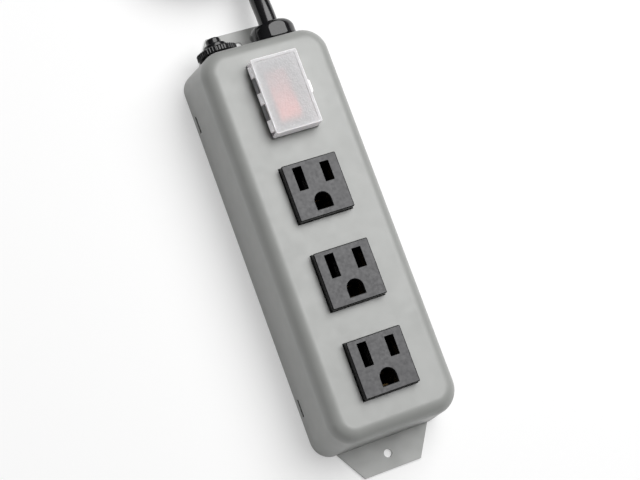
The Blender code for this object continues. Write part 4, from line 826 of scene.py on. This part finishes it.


# The lid's frosted plastic has a faint even emission, a painted glow that stands in for light scattered inside
# the plastic.
frosted = noise_finish(
    "frosted_clear_painted_glow", (0.93, 0.92, 0.93), 0.40, mottle=0.02, mottle_scale=700.0, rough_spread=0.08,
    grain_scale=1500.0, grain_depth=0.00004, Transmission_Weight=0.25, IOR=1.46, Specular_IOR_Level=0.8,
    Emission_Color=(0.92, 0.89, 0.91, 1), Emission_Strength=0.10)
panel_frost = noise_finish(
    "panel_frost", (0.90, 0.90, 0.91), 0.42, mottle=0.05, mottle_scale=900.0, rough_spread=0.12,
    grain_scale=1300.0, grain_depth=0.00022, grain_strength=0.8, Transmission_Weight=0.62, IOR=1.46,
    Specular_IOR_Level=0.6)
lid = dress(guard_lid(), "clear_plastic", frosted, panel_frost, body="guard_cover", node="guard_cover")
panel_faces = 0
for face in lid.data.polygons:
    x, y, z = face.center
    inside = abs(x - sum(GUARD_X) / 2) < PANEL_HALF[0] and abs(y - SWITCH_Y) < PANEL_HALF[1]
    if inside and z > GUARD_TOP - GUARD_WALL - PANEL_SINK - 0.05 * MM and abs(face.normal.z) > 0.9:
        face.material_index = 1
        panel_faces += 1
print(count_of(lid), "| panel faces:", panel_faces)

# The guard's bed is the lid's clear plastic tinted mid grey, as painted shade for the dark hinge side seen
# between the lugs.
shade_tinted_bed = noise_finish(
    "shade_tinted_bed", (0.34, 0.34, 0.35), 0.35, mottle=0.05, mottle_scale=500.0, grain_scale=1500.0,
    grain_depth=0.00003, Transmission_Weight=0.35, IOR=1.46)
bed = polished("guard_base", "guard_bed", shade_tinted_bed, "clear_plastic", width=0.12)
pin = polished("guard_hinge_pin", "guard_pin", nickel, "nickel_plate", width=0.1)
bezel = polished("switch_frame", "switch_bezel", black_case, "black_plastic", width=0.2)
print(count_of(bed), "|", count_of(bezel))


# %% [markdown]
# ## Geometry Nodes for what repeats
#
# Knurls on the breaker's nut, finger ridges on the rocker and rings on the plug's neck are each one small
# shape set out many times. A node tree does that: it makes the row or circle of points, puts the shape on
# each, realises the copies and gives them their finish. The sizes are named inputs of the tree, and each
# input is set through its socket's identifier. The result is read back as a plain mesh.

# %% A small tree builder
class Tree:
    """A Geometry Nodes tree with named inputs, ending in Realize Instances and Set Material."""

    def __init__(self, name, sizes):
        self.group = bpy.data.node_groups.new(name, "GeometryNodeTree")
        face = self.group.interface
        face.new_socket("Geometry", in_out="INPUT", socket_type="NodeSocketGeometry")
        face.new_socket("Geometry", in_out="OUTPUT", socket_type="NodeSocketGeometry")
        self.sizes = {}
        for label, value in sizes.items():
            kind = "NodeSocketInt" if isinstance(value, int) else "NodeSocketFloat"
            if isinstance(value, tuple):
                kind = "NodeSocketVector"
            self.sizes[label] = (face.new_socket(label, in_out="INPUT", socket_type=kind).identifier, value)
        self.inputs = self.group.nodes.new("NodeGroupInput")
        self.output = self.group.nodes.new("NodeGroupOutput")

    def node(self, kind, **settings):
        made = self.group.nodes.new(kind)
        for key, value in settings.items():
            if key in made.bl_rna.properties:
                setattr(made, key, value)
            else:
                self.feed(made, key, value)
        return made

    def feed(self, node, socket, value):
        target = node.inputs[socket.replace("_", " ")]
        if isinstance(value, bpy.types.NodeSocket):
            self.group.links.new(value, target)
        else:
            target.default_value = value

    def size(self, label):
        return self.inputs.outputs[label]

    def close(self, result, finish):
        real = self.group.nodes.new("GeometryNodeRealizeInstances")
        paint = self.group.nodes.new("GeometryNodeSetMaterial")
        paint.inputs["Material"].default_value = finish
        self.group.links.new(result, real.inputs[0])
        self.group.links.new(real.outputs[0], paint.inputs["Geometry"])
        self.group.links.new(paint.outputs[0], self.output.inputs[0])

    def apply_to(self, piece):
        modifier = piece.modifiers.new(self.group.name, "NODES")
        modifier.node_group = self.group
        for identifier, value in self.sizes.values():
            modifier[identifier] = value
        return settle(piece)


def ring_of_ridges(name, count, radius, length, width, height, finish):
    """Ridges with a round back, set round the Z axis and running along it."""
    tree = Tree(name, {"Count": count, "Radius": radius, "Length": length, "Width": width, "Height": height})
    circle = tree.node("GeometryNodeMeshCircle", Vertices=tree.size("Count"), Radius=tree.size("Radius"))
    ridge = tree.node("GeometryNodeMeshCylinder", Vertices=8, Radius=1.0, Depth=1.0)
    scale = tree.node("ShaderNodeCombineXYZ", X=tree.size("Height"), Y=tree.size("Width"),
                      Z=tree.size("Length"))
    shaped = tree.node("GeometryNodeTransform", Geometry=ridge.outputs["Mesh"], Scale=scale.outputs[0])
    spot = tree.node("GeometryNodeInputPosition")
    facing = tree.node("FunctionNodeAlignEulerToVector", axis="X", pivot_axis="Z", Vector=spot.outputs[0])
    copies = tree.node("GeometryNodeInstanceOnPoints", Points=circle.outputs["Mesh"],
                       Instance=shaped.outputs["Geometry"], Rotation=facing.outputs["Rotation"])
    tree.close(copies.outputs["Instances"], finish)
    return tree.apply_to(added(name, bpy.data.meshes.new(name)))


def set_in_a_row(tree, name, unit, finish):
    """Copies of one shape, a pitch apart along Y."""
    step = tree.node("ShaderNodeCombineXYZ", X=0.0, Y=tree.size("Pitch"), Z=0.0)
    line = tree.node("GeometryNodeMeshLine", Count=tree.size("Count"), Offset=step.outputs[0])
    copies = tree.node("GeometryNodeInstanceOnPoints", Points=line.outputs["Mesh"],
                       Instance=unit.outputs["Geometry"])
    tree.close(copies.outputs["Instances"], finish)
    return tree.apply_to(added(name, bpy.data.meshes.new(name)))


def row_of_rings(name, count, pitch, radius, bead, finish):
    """Round beads, each a small torus round the Y axis, one after another along Y."""
    tree = Tree(name, {"Count": count, "Pitch": pitch, "Radius": radius, "Bead": bead})
    path = tree.node("GeometryNodeCurvePrimitiveCircle", Resolution=40, Radius=tree.size("Radius"))
    section = tree.node("GeometryNodeCurvePrimitiveCircle", Resolution=10, Radius=tree.size("Bead"))
    torus = tree.node("GeometryNodeCurveToMesh", Curve=path.outputs["Curve"],
                      Profile_Curve=section.outputs["Curve"])
    upright = tree.node("GeometryNodeTransform", Geometry=torus.outputs["Mesh"],
                        Rotation=(math.pi / 2, 0.0, 0.0))
    return set_in_a_row(tree, name, upright, finish)


def row_of_bars(name, count, pitch, length, radius, finish):
    """Round bars along X, one after another along Y."""
    tree = Tree(name, {"Count": count, "Pitch": pitch, "Length": length, "Radius": radius})
    bar = tree.node("GeometryNodeMeshCylinder", Vertices=12, Radius=tree.size("Radius"),
                    Depth=tree.size("Length"))
    flat = tree.node("GeometryNodeTransform", Geometry=bar.outputs["Mesh"], Rotation=(0.0, math.pi / 2, 0.0))
    return set_in_a_row(tree, name, flat, finish)


def placed(piece, matrix):
    """Moves a piece's mesh, so that its object stays at the origin."""
    piece.data.transform(matrix)
    return piece


print("node trees ready")


# %% [markdown]
# ## The lit rocker
#
# The rocker is a shallow V in translucent red plastic, glowing from a neon lamp under its near half. It is
# modelled level about its own axis, as on a drawing, and then tilted seven degrees to the ON position.
# The glow falls off along the rocker, which a colour ramp on the object's own Y does.

# %% The rocker
PIVOT = Vector((0, SWITCH_Y, 35.4 * MM))
ROCKER_TILT = math.radians(-7.0)
ROCKER_REACH, ROCKER_CROWN, ROCKER_HALF = 11.5 * MM, 2.5 * MM, 4.65 * MM
STEM_HALF, PIN_REACH, PLUNGER_BORE = 2.4 * MM, 5.75 * MM, 1.6 * MM
GLOW_HALF = 8.0 * MM


def glowing_red():
    finish = noise_finish("lit_red", (0.62, 0.03, 0.02), 0.22, mottle=0.08, mottle_scale=300.0,
                          grain_scale=1800.0, Transmission_Weight=0.15)
    nodes, links = finish.node_tree.nodes, finish.node_tree.links
    shader = nodes["Principled BSDF"]
    where = nodes.new("ShaderNodeTexCoord")
    split = nodes.new("ShaderNodeSeparateXYZ")
    spread = nodes.new("ShaderNodeMapRange")
    put(spread, From_Min=SWITCH_Y + GLOW_HALF, From_Max=SWITCH_Y - GLOW_HALF)
    glow = nodes.new("ShaderNodeValToRGB")
    far, near = glow.color_ramp.elements
    far.color, near.color = (0.10, 0.008, 0.004, 1), (1.0, 0.16, 0.06, 1)
    links.new(where.outputs["Object"], split.inputs["Vector"])
    links.new(split.outputs["Y"], spread.inputs["Value"])
    links.new(spread.outputs["Result"], glow.inputs["Fac"])
    links.new(glow.outputs["Color"], shader.inputs["Emission Color"])
    put(shader, Emission_Strength=0.36)
    return finish


def rocker_body():
    rise = math.tan(math.radians(7.0))
    low, high = -math.radians(13), math.asin(ROCKER_CROWN / ROCKER_REACH) + math.radians(7.0)
    right = []
    for step in range(13):
        angle = low + (high - low) * step / 12
        right.append((ROCKER_REACH * math.cos(angle), ROCKER_REACH * math.sin(angle)))
    middle = (0.0, right[-1][1] - rise * right[-1][0])
    outline = right + [middle] + [(-y, z) for y, z in reversed(right)]
    piece = solid("rocker_paddle", extruded(bmesh.new(), outline, 0, -ROCKER_HALF, ROCKER_HALF))
    stem = box(bmesh.new(), (-STEM_HALF, STEM_HALF), (-STEM_HALF, STEM_HALF), (-9.0 * MM, -0.3 * MM))
    carve(piece, stem, "UNION")
    carve(piece, rod(bmesh.new(), (-PIN_REACH, 0, 0), (1, 0, 0), 2 * PIN_REACH, MM), "UNION")
    carve(piece, rod(bmesh.new(), (0, 0, -10 * MM), (0, 0, 1), 7.5 * MM, PLUNGER_BORE))
    eased(piece, 0.25 * MM, 3, 30)
    return shaded(piece)


lit_red = glowing_red()
paddle = rocker_body()
tilt = Matrix.Translation(PIVOT) @ Matrix.Rotation(ROCKER_TILT, 4, "X")
placed(paddle, tilt)
slope = Matrix.Translation((0, -9.6 * MM, 3.6 * MM)) @ Matrix.Rotation(-math.radians(7.0), 4, "X")
ridges = row_of_bars("rocker_ridges", 4, 1.5 * MM, 6.0 * MM, 0.28 * MM, lit_red)
placed(ridges, tilt @ slope)
dress(paddle, "red_plastic", lit_red, body="rocker", node="switch_rocker")
dress(ridges, "red_plastic", body="rocker")
print(count_of(paddle), "|", count_of(ridges))


# %% [markdown]
# ## Reset breaker
#
# On the cord-end wall a threaded bushing carries a thick plastic nut with a knurled rim, and a push
# button pops out of the middle when the breaker trips. The nut's body is turned from a profile and its
# knurls come from the ring tree.

# %% The breaker's nut, bushing and button
END_FACE = END_Y + 0.1 * MM
BREAKER_CENTRE = Vector((BREAKER_X, END_FACE, FITTING_Z))


def turned_in_wall(name, profile, centre, steps=64):
    """A piece turned about an axis through the end wall, from (radius, distance out) in millimetres."""
    in_metres = [(radius * MM, out * MM) for radius, out in profile]
    return solid(name, turned(bmesh.new(), in_metres, centre, (0, 1, 0), steps))


nut_profile = [(5.0, 0.3), (8.8, 0.3), (9.15, 0.6), (9.15, 2.6), (8.7, 3.1), (8.2, 3.3), (6.4, 3.3),
               (6.1, 3.15), (5.0, 3.15)]
nut = shaded(turned_in_wall("breaker_ring_nut", nut_profile, BREAKER_CENTRE, 72))
dress(nut, "breaker_plastic", fitting_plastic, node="breaker_nut")
knurls = ring_of_ridges("nut_knurls", 44, 9.0 * MM, 2.3 * MM, 0.33 * MM, 0.5 * MM, fitting_plastic)
rim_middle = Matrix.Translation(BREAKER_CENTRE + Vector((0, 1.75 * MM, 0)))
placed(knurls, rim_middle @ Matrix.Rotation(-math.pi / 2, 4, "X"))
dress(knurls, "breaker_plastic")

bushing_profile = [(3.8, -5.0), (4.7, -5.0), (4.7, 3.6), (5.4, 3.6), (5.4, 5.2), (5.2, 5.55), (4.7, 5.8),
                   (4.1, 5.8), (3.8, 5.5)]
bushing = shaded(turned_in_wall("breaker_sleeve", bushing_profile, BREAKER_CENTRE))
dress(bushing, "breaker_plastic", fitting_plastic, node="breaker_bushing")
button = polished("reset_button", "reset_cap", fitting_plastic, "breaker_plastic", body="reset_button",
                  width=0.1)
coil = polished("reset_spring", "reset_coil", spring_wire, "spring_steel", width=0)
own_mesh(coil)
print(count_of(nut), "|", count_of(knurls), "|", count_of(button))


# %% [markdown]
# ## Strain relief
#
# Two moulded halves squeeze the cord in the wall's hole and snap in behind it. The flat on top is where the
# pliers grip, and the seam runs through the cord's axis. Each half is the turned shape cut by a plane.

# %% The strain relief
GLAND_CENTRE = Vector((GLAND_X, END_FACE, FITTING_Z))
SEAM, SEAM_HALF, FLAT_UP = math.radians(150.0), 0.12 * MM, 10.0 * MM


def gland_half(name, side, node):
    profile = [(4.8, -9.0), (6.8, -9.0), (7.6, -8.2), (7.6, 0.0), (10.4, 0.0), (10.7, 0.3), (10.7, 4.2),
               (10.55, 5.2), (10.2, 6.1), (9.6, 7.0), (8.8, 7.7), (7.9, 8.1), (6.9, 8.3), (5.4, 8.3), (4.9, 8.1)]
    piece = turned_in_wall(name, profile, GLAND_CENTRE)
    up = Vector((math.sin(SEAM), 0, -math.cos(SEAM))) * side
    block = 30 * MM
    place = up.to_track_quat("Z", "Y").to_matrix().to_4x4()
    place.translation = GLAND_CENTRE + up * SEAM_HALF
    tool = box(bmesh.new(), (-block, block), (-block, block), (-2 * block, 0.0))
    bmesh.ops.transform(tool, matrix=place, verts=tool.verts)
    carve(piece, tool)
    if side == 1:
        top = GLAND_CENTRE.z + FLAT_UP
        carve(piece, box(bmesh.new(), (-block, block), (END_FACE - MM, END_FACE + block), (top, top + block)))
    eased(piece, 0.25 * MM, 3, 30)
    return dress(shaded(piece), "gland_plastic", fitting_plastic, node=node)


gland = [gland_half("relief_upper", 1, "gland_upper_half"),
         gland_half("relief_lower", -1, "gland_lower_half")]
print([count_of(piece) for piece in gland])


# %% [markdown]
# ## Plug and tie
#
# The cord ends in a heavy moulded plug: a neck of soft rings, a waist for the fingers and a square face with
# two blades and a grounding pin. The body is a loft through rounded rectangles whose sizes follow a short
# table, smoothed between its rows. The rings come from the row tree. Blades on a real plug have a hole near
# the tip, so the polished copies get one.

# %% The plug
# Each row: distance from the cord, width, height and corner radius, in millimetres.
PLUG_ROWS = [(0.0, 11.4, 11.4, 5.5), (14.0, 13.4, 13.4, 6.4), (17.0, 18.5, 17.5, 6.2),
             (19.5, 21.6, 20.2, 6.0), (24.0, 23.0, 21.4, 6.0), (30.0, 24.0, 22.4, 6.0),
             (36.0, 26.4, 24.6, 6.0), (40.0, 27.7, 25.7, 6.0), (44.0, 28.0, 26.0, 6.0),
             (45.5, 27.6, 25.6, 5.8), (46.0, 26.8, 24.8, 5.4)]
BLADE_HOLE, BLADE_HOLE_IN = 1.5 * MM, 4.0 * MM


def plug_body():
    rows = []
    for first, second in zip(PLUG_ROWS, PLUG_ROWS[1:]):
        rows += [[a + (b - a) * step / 3 for a, b in zip(first, second)] for step in range(3)]
    rows.append(PLUG_ROWS[-1])
    loops = []
    for along, width, height, radius in rows:
        flat = rounded_rectangle(width * MM, height * MM, min(radius, 0.49 * min(width, height)) * MM, 0.0, 8)
        loops.append([(x, PLUG_START_Y - along * MM, PLUG_Z + z) for x, z, _ in flat])
    piece = solid("plug_moulding", loft(bmesh.new(), loops))
    return shaded(piece, 50)


plug = dress(plug_body(), "black_rubber", cord_rubber, node="plug_body")
neck_rings = row_of_rings("plug_neck_rings", 6, 2.1 * MM, 6.2 * MM, 0.62 * MM, cord_rubber)
placed(neck_rings, Matrix.Translation((0, PLUG_START_Y - 12.6 * MM, PLUG_Z)))
dress(neck_rings, "black_rubber")
for node, x in (("plug_blade_line", -6.35), ("plug_blade_neutral", 6.35)):
    blade = polished(node, node + "_plated", nickel, "nickel_plate", width=0.15)
    low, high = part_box(node)
    start = (x * MM - 2 * MM, low[1] + BLADE_HOLE_IN, (low[2] + high[2]) / 2)
    carve(blade, rod(bmesh.new(), start, (1, 0, 0), 4 * MM, BLADE_HOLE))
    shaded(blade)
ground_pin = polished("plug_ground_pin", "plug_round_pin", nickel, "nickel_plate", width=0.1)
tie = polished("cord_tie", "hank_tie", tie_rubber, "black_insulation", width=0.3)
supply_cord.data.materials.append(cord_rubber)
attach(supply_cord, "root")
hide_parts("power_cord_lead", "power_cord_hank", "power_cord_tail")
print(count_of(plug), "|", count_of(neck_rings), "|", count_of(tie))


# %% [markdown]
# ## Inner pieces
#
# Behind the outlets and the switch are contacts, wires, nuts and springs, seen through slots and from the
# open seams. Their imported solids are right as they are, so they only take a finish each.

# %% Finishes for the imported inner pieces
# The line, ground and neutral contacts take the darkened brass and nickel, whose dark colour is painted shade
# inside the pockets.
INNER_FINISHES = {
    "receptacle_cover_": phenolic, "neutral_contact_": shade_dark_nickel, "line_contact_": shade_dark_brass,
    "ground_contact_": shade_dark_brass, "receptacle_strap": zinc, "strap_nut_": zinc,
    "rocker_plunger": brass, "plunger_spring": spring_wire, "contact_arm": brass, "switch_terminal_": brass,
    "neon_lamp": lamp_glass, "breaker_body": phenolic,
    "breaker_terminal_": brass, "cord_entry": cord_rubber, "ground_screw": zinc, "ground_terminal": brass,
    "wire_line": wire_black, "wire_breaker": wire_black, "wire_neutral": wire_white, "wire_ground": wire_green,
}
dressed = []
for node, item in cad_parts.items():
    for start, finish in INNER_FINISHES.items():
        if node.startswith(start):
            for place in item.material_slots:
                place.material = finish
            dressed.append(node)
shown = [node for node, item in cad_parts.items() if not item.hide_render]
print("inner pieces given a finish:", len(dressed), "| still plain:", sorted(set(shown) - set(dressed)))
